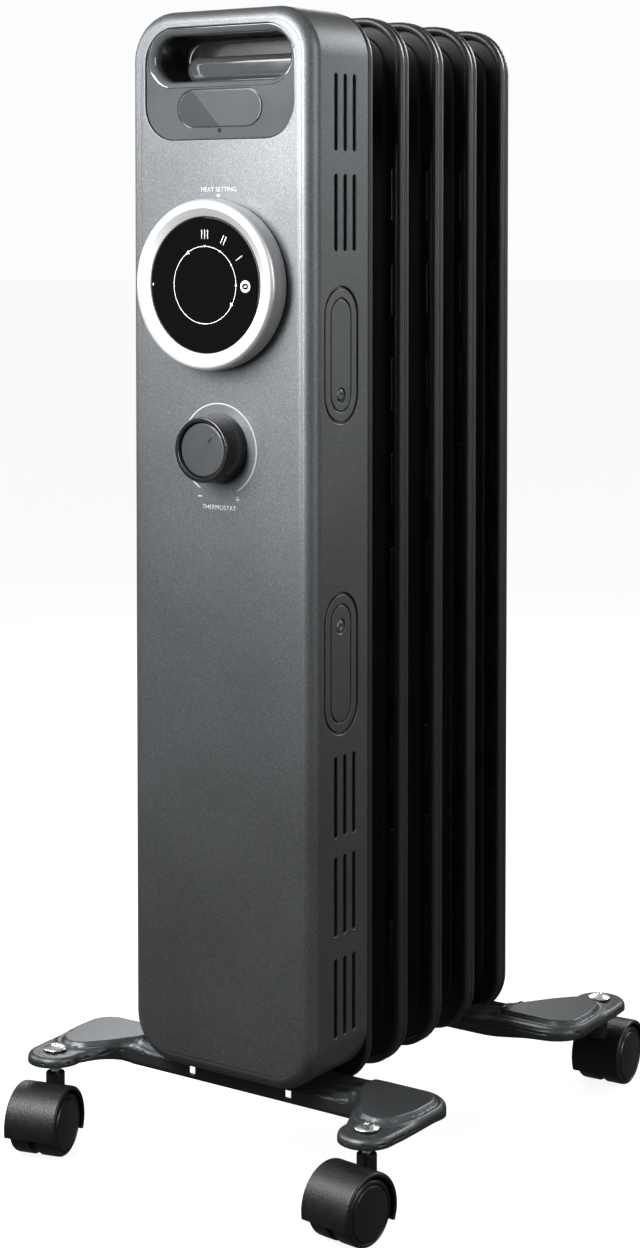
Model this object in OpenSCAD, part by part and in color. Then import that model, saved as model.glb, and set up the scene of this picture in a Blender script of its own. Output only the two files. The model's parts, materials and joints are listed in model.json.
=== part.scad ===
// Oil filled radiator heater: five pressed steel fins on two headers, a control casing with a
// rotary switch and a thermostat, and two pressed feet that stand on four twin-wheel casters.
// Millimetres. +X is to the right of a person who faces the controls, +Y runs from the controls
// to the back, +Z is up. The origin is on the floor, under the middle of the heater's box.

/* [Body] */
// Height of the top of the casing above the floor
height = 620; // [600:1:640]
// Width of the casing and of each fin
body_w = 120; // [114:1:126]
// Corner radius of the casing and of each fin, seen from the front
corner_r = 26; // [22:1:30]
// Place of the casing's front face, behind the middle of the heater
front_y = -108.8; // [-111:0.1:-107]

/* [Fins] */
// Distance from one fin to the next
fin_pitch = 35.7; // [34:0.1:37]
// Width of the rolled rim around a fin, front to back
rim_w = 9.5; // [8:0.1:11]
// Depth of the rolled rim, seen from the front
rim_d = 4.6; // [3:0.1:6]
// Height of the bottom of the fins above the floor
fin_foot_z = 43.5; // [43.5:0.1:46]

/* [Casing] */
// Height of the bottom of the casing above the floor
casing_z = 53; // [53:1:58]
// Depth of the casing, front to back
casing_d = 51.2; // [50:0.1:51.2]
// Wall thickness of the casing
casing_wall = 2.2; // [1.6:0.1:3]
// Radius of the casing's front edge
edge_r = 8; // [4:0.5:9]

/* [Controls] */
// Height of the rotary switch's dial above the floor
dial_z = 475.4; // [470:0.1:480]
// Outside diameter of the dial's silver ring
dial_d = 90; // [84:0.5:94]
// Height of the thermostat knob above the floor
knob_z = 389.5; // [385:0.1:395]
// Diameter of the thermostat knob at its front
knob_d = 34.4; // [30:0.2:38]

/* [Casters] */
// Distance of each caster's stem from the middle plane
stem_x = 102.9; // [101:0.1:105]
// Place of the front stems, behind the casing's front face
stem_front = -14.3; // [-16:0.1:-12]
// Place of the rear stems, behind the casing's front face
stem_rear = 233.8; // [230:0.1:236]
// Wheel diameter
wheel_d = 34; // [32:0.5:35]
// Distance from a caster's stem to its axle
trail = 13.7; // [12:0.1:15]

/* [Hidden] */
PLACES = ["front_left", "front_right", "rear_left", "rear_right"];

$fn = 64;
HULL_FN = 32;       // facets on the circles inside a hull
CUT = 1;            // how far a cutter runs past the face it cuts
FIT = 0.05;         // radial clearance of a running fit
GAP = 0.3;          // gap between neighbouring pieces
SLICE = 0.05;       // thickness of the slices that a rounded edge is hulled from

FIN_COLOR = "#2e3031";
CASING_COLOR = "#4d5052";
PANEL_COLOR = "#5b5f61";
SILVER_COLOR = "#c4c7c9";
BLACK_COLOR = "#17181a";
FOOT_COLOR = "#3f4244";
CHROME_COLOR = "#dfe2e4";
STEEL_COLOR = "#9b9fa2";
BRASS_COLOR = "#b99b52";

// Fins
fin_h = height - 0.5 - fin_foot_z;
fin_mid_z = fin_foot_z + fin_h / 2;
plate_t = 1.6;
fin_front_y = front_y + casing_d + GAP + plate_t / 2;
panel_t = 4.6;
panel_side_inset = 12;
panel_end_inset = 9;
panel_r = 19;
channel_w = 46;
channel_t = 13;
channel_wall = 1.2;
header_inset = 48;
header_low_z = fin_foot_z + header_inset;
header_high_z = height - 0.5 - header_inset;
collar_d = 40;
collar_bore_d = 30;
rim_groove_w = 0.8;
rim_groove_d = 0.8;
weld_rib_l = 29;
weld_rib_w = 2.2;
weld_rib_t = 3.4;
weld_rib_pitch = 51.5;
weld_rib_rows = 9;
weld_rib_x = body_w / 2 - 7;
weld_rib_low_z = 96.5;
plug_r = 6;

// Heating element in the lower header
rod_r = 4;
rod_x = 7.5;
element_front_y = fin_y(1) - channel_t / 2;
element_l = 141;
flange_r = 19;
flange_t = 4;

// Handle panel, badge and pilot lamp
panel_w = 98;
panel_low_z = 551.5;
panel_high_z = 611;
panel_corner_r = 19;
panel_front = 0.8;
panel_face_t = 2.4;
panel_lip = 0.8;
grip_z = 594.7;
grip_l = 88;
grip_h = 24;
grip_d = 30;
grip_wall = 2;
grip_ledge_y = 22;
grip_ledge_h = 14.4;
badge_l = 55;
badge_h = 20;
badge_z = 568;
badge_t = 1.2;
lamp_z = 556.2;
lamp_r = 0.9;

// Casing: its inner edge, side vents, clips and the cord's inlet, as distances behind the front face
vent_w = 3;
vent_ys = [21.3, 29.8, 38.3];
vent_rows = [[80, 122], [134, 176], [186, 229], [493, 533], [545, 585]];
clip_y = 26.4;
clip_w = 31.5;
clip_spans = [[240, 315], [403, 475]];
clip_screw_zs = [297, 418];
clip_plate_gap = 6;
clip_recess = 1.2;
casing_inner_r = 6;
inlet_z = 101;
inlet_y = 32;
inlet_bush_r = 5.9;

// Dial and knob, heights measured out from the casing's front face
control_gap = 0.8;
dial_h = 14.3;
dial_glass_r = 35.5;
dial_floor_h = 8.2;
shaft_r = 3;
shaft_hole_r = 4.5;
shaft_in = 22;
knob_h = 16;
knob_base_r = 18.4;
knob_cap_r = 14;

// Control parts behind the front face
bracket_y = 3;
bracket_t = 1.2;
shield_y = 36;
shield_t = 1;

// Feet: u runs inward from the line of the stems, towards the heater's middle
foot_half_w = 119;
lobe_r = 15;
bar_u = [31, 65.6];
bar_half_w = 72;
arm_corner_r = 21;
sheet_t = 2;
skirt_z = 47;
bar_bottom_z = 41.5;
bar_sheet_z = 48;
lobe_top_z = 53;
plateau_top_z = 55.2;
plateau_x = 68;
foot_rib_us = [36, 45, 54];
foot_rib_r = 1.5;
notch_x = 32;
notch_w = 4.6;
notch_z = [43.8, 48.2];
saddle_half_w = 28;
saddle_t = 1.5;
saddle_top_z = fin_foot_z - 0.1;
front_saddle_u = [50, 98.5];
rear_saddle_u = [33.2, 80];
bolt_r = 2.5;
bolt_ring_r = collar_d / 2 + 0.3 + bolt_r;
bolt_end_z = 36.6;
bolt_nut_r = 4.8;
bolt_nut_h = 3;
front_bolt_y = (fin_y(1) + fin_y(2)) / 2;
rear_bolt_y = (fin_y(4) + fin_y(5)) / 2;

// Casters: the axle's direction, and whether the caster trails to the back
caster_turn = [15, -6, 177, 183];
wheel_r = wheel_d / 2;
stem_r = 2.65;
stem_bottom_z = 32.3;
hood_open_z = 11;
hood_tilt = 6.5;
hub_r = 5.2;
hub_top_z = 40.5;
hood_r = 20.5;
hood_wall = 2.3;
hood_w = 30;
web_t = 3;
axle_r = 2.5;
axle_l = 23.4;
wheel_in_x = 2;
wheel_w = 12.4;
cap_nut_r = 6.5;
cap_nut_h = 2.6;

// Middle of a fin's plate, front to back
function fin_y(i) = fin_front_y + (i - 1) * fin_pitch;

// Where a caster's stem stands
function stem_pos(i) = [
    (i % 2 == 0 ? -1 : 1) * stem_x,
    front_y + (i < 2 ? stem_front : stem_rear)
];

// ---- shared shapes ----------------------------------------------------------------------

// A rectangle with round corners, centred
module round_rect(w, h, r)
{
    square([w - 2 * r, h], center = true);
    square([w, h - 2 * r], center = true);
    for (x = [-1, 1], y = [-1, 1])
        translate([x * (w / 2 - r), y * (h / 2 - r)]) circle(r);
}

// A bar with round ends, centred, along x
module capsule(l, w)
{
    square([l - w, w], center = true);
    for (x = [-1, 1])
        translate([x * (l - w) / 2, 0]) circle(w / 2);
}

// Stands a flat outline up, facing the front, from y to y + t
module upright(y, t)
{
    translate([0, y + t, 0]) rotate([90, 0, 0]) linear_extrude(t) children();
}

// Turns a flat outline to face sideways, from x to x + t
module sideways(x, t)
{
    translate([x, 0, 0]) rotate([90, 0, 90]) linear_extrude(t) children();
}

// Points a shape made along +Z out of the casing's front face, at a height z
module from_face(z)
{
    translate([0, front_y, z]) rotate([90, 0, 0]) children();
}

// A wire through a list of points, swept with square joints
module wire(points, r, sides = 8)
{
    n = len(points);
    rings = [for (i = [0:n - 1]) let (
        a = points[max(i - 1, 0)],
        b = points[min(i + 1, n - 1)],
        d = (b - a) / norm(b - a),
        s = abs(d[2]) > 0.9 ? [1, 0, 0] : [0, 0, 1],
        p = cross(d, s) / norm(cross(d, s)),
        q = cross(d, p)
    ) for (k = [0:sides - 1]) points[i] + r * (cos(360 * k / sides) * p + sin(360 * k / sides) * q)];
    walls = [for (i = [0:n - 2], k = [0:sides - 1]) let (k2 = (k + 1) % sides)
        [i * sides + k, i * sides + k2, (i + 1) * sides + k2, (i + 1) * sides + k]];
    ends = [[for (k = [sides - 1:-1:0]) k], [for (k = [0:sides - 1]) (n - 1) * sides + k]];
    polyhedron(rings, concat(walls, ends));
}

// ---- fins and headers -------------------------------------------------------------------

module fin_outline(inset = 0)
{
    translate([0, fin_mid_z])
        round_rect(body_w - 2 * inset, fin_h - 2 * inset, corner_r - inset);
}

module fin_band(y, t, outer_inset)
{
    upright(y, t) difference() {
        fin_outline(outer_inset);
        fin_outline(rim_d);
    }
}

// Two rolled lobes with a groove between them; the first fin has only its rear lobe
module fin_rim(y, both)
{
    lobe_w = (rim_w - rim_groove_w) / 2;
    fin_band(y + rim_groove_w / 2, lobe_w, 0);
    fin_band(y - rim_groove_w / 2, rim_groove_w, rim_groove_d);
    if (both)
        fin_band(y - rim_groove_w / 2 - lobe_w, lobe_w, 0);
}

module channel_outline(inset = 0)
{
    translate([0, fin_mid_z]) rotate(90)
        capsule(header_high_z - header_low_z + channel_w - 2 * inset, channel_w - 2 * inset);
}

module weld_ribs(y)
{
    upright(y - weld_rib_t / 2, weld_rib_t)
        for (x = [-1, 1], i = [0:weld_rib_rows - 1])
            translate([x * weld_rib_x, weld_rib_low_z + weld_rib_l / 2 + i * weld_rib_pitch])
                rotate(90) capsule(weld_rib_l, weld_rib_w);
}

module fin(i)
{
    y = fin_y(i);
    hollow_t = channel_t - 2 * channel_wall;
    bore_back = i == 5 ? 0 : channel_t / 2 + CUT;
    color(FIN_COLOR) difference() {
        union() {
            upright(y - plate_t / 2, plate_t) fin_outline(1);
            fin_rim(y, i > 1);
            // The first fin lies against the casing, so its panel is pressed out only behind
            upright(i > 1 ? y - panel_t / 2 : y, i > 1 ? panel_t : panel_t / 2)
                translate([0, fin_mid_z])
                    round_rect(body_w - 2 * panel_side_inset, fin_h - 2 * panel_end_inset, panel_r);
            upright(y - channel_t / 2, channel_t) channel_outline();
            weld_ribs(y);
        }
        upright(y - hollow_t / 2, hollow_t) channel_outline(channel_wall);
        // The element enters the first fin's lower hub, and the filler plug the last fin's upper hub
        if (i > 1)
            header_bore(y - channel_t / 2 - CUT, y, header_high_z);
        header_bore(y - channel_t / 2 - CUT, y, header_low_z);
        if (i < 5)
            header_bore(y, y + bore_back, header_low_z);
        header_bore(y, y + channel_t / 2 + CUT, header_high_z, i == 5 ? plug_r : collar_bore_d / 2);
    }
}

module header_bore(y0, y1, z, r = collar_bore_d / 2)
{
    translate([0, y1, z]) rotate([90, 0, 0]) cylinder(h = y1 - y0, r = r);
}

module collars(z)
{
    l = fin_pitch - channel_t;
    color(FIN_COLOR) for (i = [1:4])
        translate([0, fin_y(i) + channel_t / 2 + l, z]) rotate([90, 0, 0]) difference() {
            cylinder(h = l, r = collar_d / 2);
            translate([0, 0, -CUT]) cylinder(h = l + 2 * CUT, r = collar_bore_d / 2);
        }
}

module heating_element()
{
    back_y = element_front_y + element_l;
    color(STEEL_COLOR) {
        for (x = [-1, 1])
            translate([x * rod_x, back_y, header_low_z]) rotate([90, 0, 0])
                cylinder(h = element_l + flange_t + 8, r = rod_r);
        translate([0, back_y, header_low_z])
            rotate_extrude(angle = 180) translate([rod_x, 0]) circle(rod_r);
    }
}

module element_flange()
{
    color(BRASS_COLOR) translate([0, element_front_y, header_low_z]) rotate([90, 0, 0]) difference() {
        union() {
            cylinder(h = flange_t, r = flange_r);
            translate([0, 0, flange_t - 0.5]) cylinder(h = 4, r = 15, $fn = 6);
        }
        for (x = [-1, 1])
            translate([x * rod_x, 0, -CUT]) cylinder(h = 10, r = rod_r + 0.02);
    }
}

module filler_plug()
{
    back = fin_y(5) + channel_t / 2;
    color(STEEL_COLOR) translate([0, back - 3, header_high_z]) rotate([-90, 0, 0]) {
        cylinder(h = 4, r = plug_r - 0.02);
        translate([0, 0, 3]) cylinder(h = 4.5, r = 9.5, $fn = 6);
    }
}

// ---- casing -----------------------------------------------------------------------------

module casing_outline(inset = 0)
{
    h = height - casing_z;
    translate([0, casing_z + h / 2])
        round_rect(body_w - 2 * inset, h - 2 * inset, corner_r - inset);
}

// The outline pulled in along a quarter circle of radius r towards the front face
module casing_block(inset, front, back, r)
{
    hull() {
        upright(front_y + back - 1, 1) casing_outline(inset, $fn = HULL_FN);
        for (a = [0:18:90])
            upright(front_y + front + r * (1 - sin(a)), SLICE)
                casing_outline(inset + r * (1 - cos(a)), $fn = HULL_FN);
    }
}

module handle_outline(inset = 0)
{
    h = panel_high_z - panel_low_z;
    translate([0, panel_low_z + h / 2])
        round_rect(panel_w - 2 * inset, h - 2 * inset, panel_corner_r - inset);
}

module side_slots(x, rows)
{
    sideways(x, casing_wall + 2 * CUT)
        for (row = rows, y = vent_ys)
            translate([front_y + y, (row[0] + row[1]) / 2]) rotate(90)
                capsule(row[1] - row[0], vent_w);
}

module clip_outline(span, inset = 0)
{
    translate([front_y + clip_y, (span[0] + span[1]) / 2]) rotate(90)
        capsule(span[1] - span[0] - 2 * inset, clip_w - 2 * inset);
}

module casing()
{
    side_x = body_w / 2;
    color(CASING_COLOR) difference() {
        casing_block(0, 0, casing_d, edge_r);
        casing_block(casing_wall, casing_wall, casing_d + 2, casing_inner_r);
        upright(front_y - CUT, casing_wall + 2 * CUT) handle_outline();
        side_slots(side_x - casing_wall - CUT, vent_rows);
        side_slots(-side_x - CUT, [for (i = [1:4]) vent_rows[i]]);
        for (span = clip_spans, x = [side_x - clip_recess, -side_x - CUT])
            sideways(x, clip_recess + CUT) clip_outline(span);
        for (z = clip_screw_zs)
            translate([-side_x - CUT, front_y + clip_y, z]) rotate([0, 90, 0])
                cylinder(h = body_w + 2 * CUT, r = 2.1);
        for (z = [dial_z, knob_z])
            translate([0, front_y + casing_wall + CUT, z]) rotate([90, 0, 0])
                cylinder(h = casing_wall + 2 * CUT, r = shaft_hole_r);
        translate([-side_x - CUT, front_y + inlet_y, inlet_z]) rotate([0, 90, 0])
            cylinder(h = casing_wall + 2 * CUT, r = 6);
    }
}

module grip_outline(grow = 0)
{
    translate([0, grip_z]) capsule(grip_l + 2 * grow, grip_h + 2 * grow);
}

module handle_panel()
{
    face = front_y + panel_front;
    color(PANEL_COLOR) difference() {
        union() {
            upright(face, panel_face_t) handle_outline(0.15);
            upright(front_y + casing_wall, 1.5) handle_outline(-panel_lip);
            upright(face, grip_d + grip_wall) grip_outline(grip_wall);
        }
        difference() {
            upright(face - CUT, grip_d + CUT) grip_outline();
            translate([-grip_l / 2, front_y + grip_ledge_y, grip_z - grip_h / 2])
                cube([grip_l, grip_d, grip_ledge_h]);
        }
        upright(face - CUT, CUT + 0.5)
            translate([0, badge_z]) capsule(badge_l + 0.3, badge_h + 0.3);
        translate([0, face + panel_face_t + 4, lamp_z]) rotate([90, 0, 0])
            cylinder(h = 10, r = lamp_r + 0.1);
    }
}

module badge_plate()
{
    color(STEEL_COLOR) upright(front_y + panel_front + 0.5 - badge_t + 0.4, badge_t - 0.4)
        translate([0, badge_z]) capsule(badge_l, badge_h);
}

module pilot_lamp()
{
    color("#8a1c12") translate([0, front_y + panel_front + 14, lamp_z]) rotate([90, 0, 0]) {
        cylinder(h = 13.8, r = lamp_r);
        cylinder(h = 10, r = 2.5);
    }
}

module side_clips()
{
    color(CASING_COLOR) for (span = clip_spans, x = [-1, 1]) {
        base = body_w / 2 - clip_recess;
        sideways(x > 0 ? base : -base - 0.9, 0.9) difference() {
            clip_outline(span, clip_plate_gap);
            for (z = clip_screw_zs)
                translate([front_y + clip_y, z]) circle(2.1);
        }
    }
}

module clip_screws()
{
    color(CHROME_COLOR) for (z = clip_screw_zs, x = [-1, 1])
        translate([x * body_w / 2, front_y + clip_y, z]) rotate([0, -90 * x, 0]) {
            translate([0, 0, -0.4]) cylinder(h = 0.7, r = 3.4);
            cylinder(h = 12, r = 1.9);
        }
}

// ---- parts inside the casing ------------------------------------------------------------

module control_bracket()
{
    color(STEEL_COLOR) difference() {
        upright(front_y + bracket_y, bracket_t) translate([0, (dial_z + knob_z) / 2])
            round_rect(70, 160, 6);
        for (z = [dial_z, knob_z])
            translate([0, front_y + 10, z]) rotate([90, 0, 0]) cylinder(h = 12, r = shaft_hole_r);
    }
}

// A switch body with a bush that the control shaft turns in
module control_body(z, w, h, d)
{
    base = front_y + bracket_y + bracket_t;
    difference() {
        union() {
            translate([-w / 2, base, z - h / 2]) cube([w, d, h]);
            translate([0, base, z]) rotate([90, 0, 0]) cylinder(h = 4, r = shaft_hole_r - 0.2);
        }
        translate([0, front_y + shaft_in, z]) rotate([90, 0, 0])
            cylinder(h = shaft_in + 2, r = shaft_r + FIT);
    }
}

module rotary_switch()
{
    color("ivory") control_body(dial_z, 38, 38, 24);
}

module thermostat()
{
    color("#6b6e70") control_body(knob_z, 44, 30, 26);
}

module heat_shield()
{
    color(STEEL_COLOR) difference() {
        upright(front_y + shield_y, shield_t) casing_outline(casing_wall + 1);
        translate([0, front_y + shield_y + 5, header_low_z]) rotate([90, 0, 0])
            cylinder(h = 10, r = flange_r + 2);
        translate([-body_w / 2, front_y + inlet_y, inlet_z]) rotate([0, 90, 0])
            cylinder(h = 12, r = inlet_bush_r + 0.6);
    }
}

module thermal_cutout()
{
    color(BLACK_COLOR) translate([0, fin_y(1) - channel_t / 2, 300]) rotate([90, 0, 0]) {
        cylinder(h = 6, r = 8);
        for (x = [-1, 1])
            translate([x * 5 - 1.5, -0.4, 5.5]) cube([3, 0.8, 2.4]);
    }
}

module tip_over_switch()
{
    color("ivory") translate([14, front_y + 14, 120]) {
        cube([26, 18, 30]);
        translate([8, 18, 5]) cube([10, 3, 20]);
    }
}

module terminal_block()
{
    color("ivory") difference() {
        translate([-40, front_y + shield_y - 14, 140]) cube([34, 14, 18]);
        for (i = [0:3])
            translate([-35 + 8 * i, front_y + shield_y - 14 - CUT, 149]) rotate([-90, 0, 0])
                cylinder(h = 8, r = 2.5);
    }
}

// Wires from the terminal block to the switch, the thermostat, the cutout and the element
module wiring()
{
    y = front_y + 29;
    runs = [
        [[-35, y - 6, 158.5], [-35, y, 175], [-34, y, 300], [-30, y, 440], [-20.4, y - 6, 470]],
        [[-27, y - 6, 158.5], [-27, y, 175], [-27, y, 280], [-25, y, 370], [-23.4, y - 6, 385]],
        [[-19, y - 6, 158.5], [-18, y, 180], [-14, y, 260], [-6, y + 2, 292]],
        [[-19, y - 6, 139.5], [-19, y, 125], [-12, y, 110], [-rod_x, y + 2, 100]]
    ];
    color("#b8322a") for (run = runs)
        wire(run, 1.3);
}

module cord_inlet_bush()
{
    side_x = body_w / 2;
    color(BLACK_COLOR) translate([-side_x, front_y + inlet_y, inlet_z]) rotate([0, 90, 0]) difference() {
        union() {
            translate([0, 0, -1.5]) cylinder(h = 1.5, r = 7.5);
            cylinder(h = 9, r = inlet_bush_r);
        }
        translate([0, 0, -2]) cylinder(h = 12, r = 3.6);
    }
}

// ---- dial and knob ----------------------------------------------------------------------

module dial_bezel()
{
    r = dial_d / 2;
    color(SILVER_COLOR) from_face(dial_z) rotate_extrude() polygon([
        [r, control_gap], [r, dial_h - 2.8], [r - 0.8, dial_h - 0.8], [r - 2.8, dial_h],
        [r - 5, dial_h], [dial_glass_r + 0.2, dial_h - 2], [dial_glass_r + 0.2, dial_floor_h + 2],
        [r - 3.5, dial_floor_h + 2], [r - 3.5, control_gap]
    ]);
}

module dial_carrier()
{
    color(BLACK_COLOR) from_face(dial_z) difference() {
        union() {
            translate([0, 0, dial_floor_h]) cylinder(h = 2, r = dial_d / 2 - 3.7);
            translate([0, 0, control_gap]) cylinder(h = dial_floor_h - control_gap + 1, r = 7);
        }
        translate([0, 0, -CUT]) cylinder(h = dial_floor_h, r = shaft_r + 0.02);
    }
}

module dial_glass()
{
    color(BLACK_COLOR) from_face(dial_z) translate([0, 0, dial_floor_h + 2])
        cylinder(h = dial_h - dial_floor_h - 4.2, r = dial_glass_r);
}

module control_shaft(z, out)
{
    color(STEEL_COLOR) from_face(z) translate([0, 0, -shaft_in + 1])
        cylinder(h = shaft_in - 1 + out, r = shaft_r);
}

module knob_shell()
{
    r = knob_d / 2;
    color(BLACK_COLOR) from_face(knob_z) difference() {
        rotate_extrude() polygon([
            [0, knob_h - 3.4], [knob_cap_r, knob_h - 3.4], [knob_cap_r + 0.6, knob_h - 0.6],
            [r - 0.8, knob_h], [r, knob_h - 0.8], [knob_base_r - 0.5, 2], [knob_base_r, control_gap],
            [knob_base_r - 2.2, control_gap], [r - 2.5, knob_h - 6], [6, knob_h - 6],
            [6, control_gap], [0, control_gap]
        ]);
        translate([0, 0, -CUT]) cylinder(h = knob_h - 5, r = shaft_r + 0.02);
    }
}

module knob_cap()
{
    color("#6f7375") from_face(knob_z) translate([0, 0, knob_h - 3.4])
        cylinder(h = 1.8, r = knob_cap_r - 0.1);
}

// ---- feet -------------------------------------------------------------------------------

// One foot's outline, pulled in by i; x to the side, u inward from the stems
module foot_outline(i = 0)
{
    u_in = bar_u[1] - i;
    u_out = bar_u[0] + i;
    corner_x = foot_half_w - arm_corner_r;
    corner_u = bar_u[1] - arm_corner_r;
    translate([-corner_x, u_out]) square([2 * corner_x, u_in - u_out]);
    for (s = [-1, 1]) scale([s, 1]) {
        translate([corner_x, corner_u]) circle(arm_corner_r - i);
        translate([stem_x, 0]) circle(lobe_r - i);
        polygon([
            [stem_x - lobe_r + i, 0], [stem_x + lobe_r - i, 0], [foot_half_w - i, corner_u],
            [corner_x, u_in - 1], [bar_half_w - 4 + i, u_out], [bar_half_w + 5 + i, u_out - 4],
            [bar_half_w + 12.5 + i, u_out - 15]
        ]);
    }
}

// The raised flat on each arm
module plateau_outline(i = 0)
{
    for (s = [-1, 1]) scale([s, 1]) {
        translate([101.5, 44.5]) circle(11.2 - i);
        translate([101.5, 19]) circle(9.8 - i);
        polygon([
            [plateau_x + i, 55.7 - i], [101.5, 55.7 - i], [112.7 - i, 44.5], [111.3 - i, 19],
            [101.5, 9.2 + i], [94 + i, 12.5 + i], [85 + i, 22 + i], [plateau_x + 6 + i, 38]
        ]);
    }
}

module slab(z0, z1)
{
    translate([0, 0, z0]) linear_extrude(z1 - z0) children();
}

module arm_zone()
{
    for (s = [-1, 1]) scale([s, 1])
        translate([bar_half_w, -lobe_r - 1]) square([foot_half_w, bar_u[1] + lobe_r + 2]);
}

// The pressed sheet: skirts, the low bar across the middle, the arms and their raised flats
module foot_sheet()
{
    difference() {
        slab(skirt_z, lobe_top_z) intersection() {
            foot_outline();
            arm_zone();
        }
        slab(skirt_z - CUT, lobe_top_z - sheet_t) intersection() {
            foot_outline(sheet_t);
            translate([sheet_t, 0]) arm_zone();
            translate([-sheet_t, 0]) arm_zone();
        }
        slab(lobe_top_z - sheet_t - CUT, lobe_top_z + CUT) plateau_outline(sheet_t);
    }
    difference() {
        slab(lobe_top_z - sheet_t, plateau_top_z) plateau_outline();
        slab(lobe_top_z - sheet_t - CUT, plateau_top_z - sheet_t) plateau_outline(sheet_t);
    }
    w = 2 * bar_half_w + 2 * sheet_t;
    depth = bar_u[1] - bar_u[0];
    difference() {
        translate([-w / 2, bar_u[0], bar_bottom_z]) cube([w, depth, bar_sheet_z + sheet_t - bar_bottom_z]);
        translate([-w / 2 - CUT, bar_u[0] + sheet_t, bar_bottom_z - CUT])
            cube([w + 2 * CUT, depth - 2 * sheet_t, bar_sheet_z - bar_bottom_z + CUT]);
        for (x = [-notch_x, notch_x])
            translate([x - notch_w / 2, bar_u[0] - CUT, notch_z[0]])
                cube([notch_w, sheet_t + 2 * CUT, notch_z[1] - notch_z[0]]);
    }
    for (u = foot_rib_us, s = [-1, 1])
        translate([s * (bar_half_w - 8) - 14, u, bar_sheet_z + sheet_t - 0.3]) rotate([0, 90, 0])
            cylinder(h = 28, r = foot_rib_r);
}

module placed_foot(front)
{
    y = front_y + (front ? stem_front : stem_rear);
    translate([0, y, 0]) scale([1, front ? 1 : -1, 1]) children();
}

module foot(front)
{
    bolt_u = stem_rear + front_y - rear_bolt_y;
    color(FOOT_COLOR) difference() {
        placed_foot(front) difference() {
            foot_sheet();
            translate([-saddle_half_w - 0.1, bar_u[0] + sheet_t + CUT, bar_bottom_z - CUT])
                cube([2 * saddle_half_w + 0.2, 60, saddle_top_z - bar_bottom_z + CUT + 0.2]);
            for (s = [-1, 1])
                translate([s * stem_x, 0, 0]) cylinder(h = 60, r = stem_r + 0.02);
            if (!front)
                for (s = [-1, 1])
                    translate([s * bolt_ring_r, bolt_u, 0]) cylinder(h = 60, r = bolt_r + 0.5);
        }
        if (!front)
            upright(fin_y(5) - rim_w / 2 - GAP, rim_w + 2 * GAP) fin_outline(-GAP);
    }
}

module saddle(front)
{
    u = front ? front_saddle_u : rear_saddle_u;
    y = front_y + (front ? stem_front : stem_rear);
    bolt_u = front ? front_bolt_y - y : y - rear_bolt_y;
    color(STEEL_COLOR) placed_foot(front) difference() {
        translate([-saddle_half_w, u[0], saddle_top_z - saddle_t])
            cube([2 * saddle_half_w, u[1] - u[0], saddle_t]);
        for (s = [-1, 1])
            translate([s * bolt_ring_r, bolt_u, 30]) cylinder(h = 30, r = bolt_r + 0.3);
    }
}

module u_bolts()
{
    color(CHROME_COLOR) for (y = [front_bolt_y, rear_bolt_y]) translate([0, y, 0]) {
        for (s = [-1, 1])
            translate([s * bolt_ring_r, 0, bolt_end_z])
                cylinder(h = header_low_z - bolt_end_z, r = bolt_r);
        translate([0, 0, header_low_z]) rotate([90, 0, 0])
            rotate_extrude(angle = 180) translate([bolt_ring_r, 0]) circle(bolt_r);
    }
}

module bolt_nuts()
{
    top = saddle_top_z - saddle_t;
    color(CHROME_COLOR) for (y = [front_bolt_y, rear_bolt_y], s = [-1, 1])
        translate([s * bolt_ring_r, y, top - bolt_nut_h]) difference() {
            cylinder(h = bolt_nut_h, r = bolt_nut_r, $fn = 6);
            translate([0, 0, -CUT]) cylinder(h = bolt_nut_h + 2 * CUT, r = bolt_r + 0.02);
        }
}

// ---- casters ----------------------------------------------------------------------------

module caster_stems()
{
    color(CHROME_COLOR) for (i = [0:3])
        translate([stem_pos(i)[0], stem_pos(i)[1], stem_bottom_z])
            cylinder(h = lobe_top_z + 1.5 - stem_bottom_z, r = stem_r);
}

module cap_nuts()
{
    color(CHROME_COLOR) for (i = [0:3])
        translate([stem_pos(i)[0], stem_pos(i)[1], lobe_top_z]) difference() {
            rotate_extrude() polygon([
                [0, 0], [cap_nut_r, 0], [cap_nut_r, 0.7], [cap_nut_r - 0.9, 1.5],
                [cap_nut_r - 2.6, 2.1], [2, cap_nut_h], [0, cap_nut_h]
            ]);
            translate([0, 0, -CUT]) cylinder(h = 1.6 + CUT, r = stem_r + 0.02);
        }
}

// Puts a caster at its place; the axle lies along x and trails towards -y
module placed_caster(i)
{
    translate([stem_pos(i)[0], stem_pos(i)[1], 0]) rotate(caster_turn[i]) children();
}

// A shape made around Z, turned to lie along the axle, from x = 0
module on_axle()
{
    translate([0, -trail, wheel_r]) rotate([0, 90, 0]) children();
}

module caster_hood(i)
{
    inner_r = hood_r - hood_wall;
    color(BLACK_COLOR) placed_caster(i) difference() {
        union() {
            on_axle() difference() {
                translate([0, 0, -hood_w / 2]) cylinder(h = hood_w, r = hood_r);
                for (s = [-1, 1])
                    translate([0, 0, s * (hood_w + web_t) / 2 - hood_w / 2])
                        cylinder(h = hood_w, r = inner_r);
            }
            difference() {
                translate([0, 0, 24]) cylinder(h = hub_top_z - 24, r = hub_r);
                on_axle() translate([0, 0, -hood_w / 2]) cylinder(h = hood_w, r = inner_r + 0.5);
            }
        }
        // The hood is open below: low at the stem's side, higher at the trailing side
        translate([0, -trail, hood_open_z]) rotate([-hood_tilt, 0, 0])
            translate([-20, -40, -40]) cube([40, 80, 40]);
        on_axle() translate([0, 0, -hood_w / 2]) cylinder(h = hood_w, r = axle_r + 0.02);
        translate([0, 0, stem_bottom_z - 0.3]) cylinder(h = 20, r = stem_r + FIT);
    }
}

module caster_axle(i)
{
    color(CHROME_COLOR) placed_caster(i) on_axle()
        translate([0, 0, -axle_l / 2]) cylinder(h = axle_l, r = axle_r);
}

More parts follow.
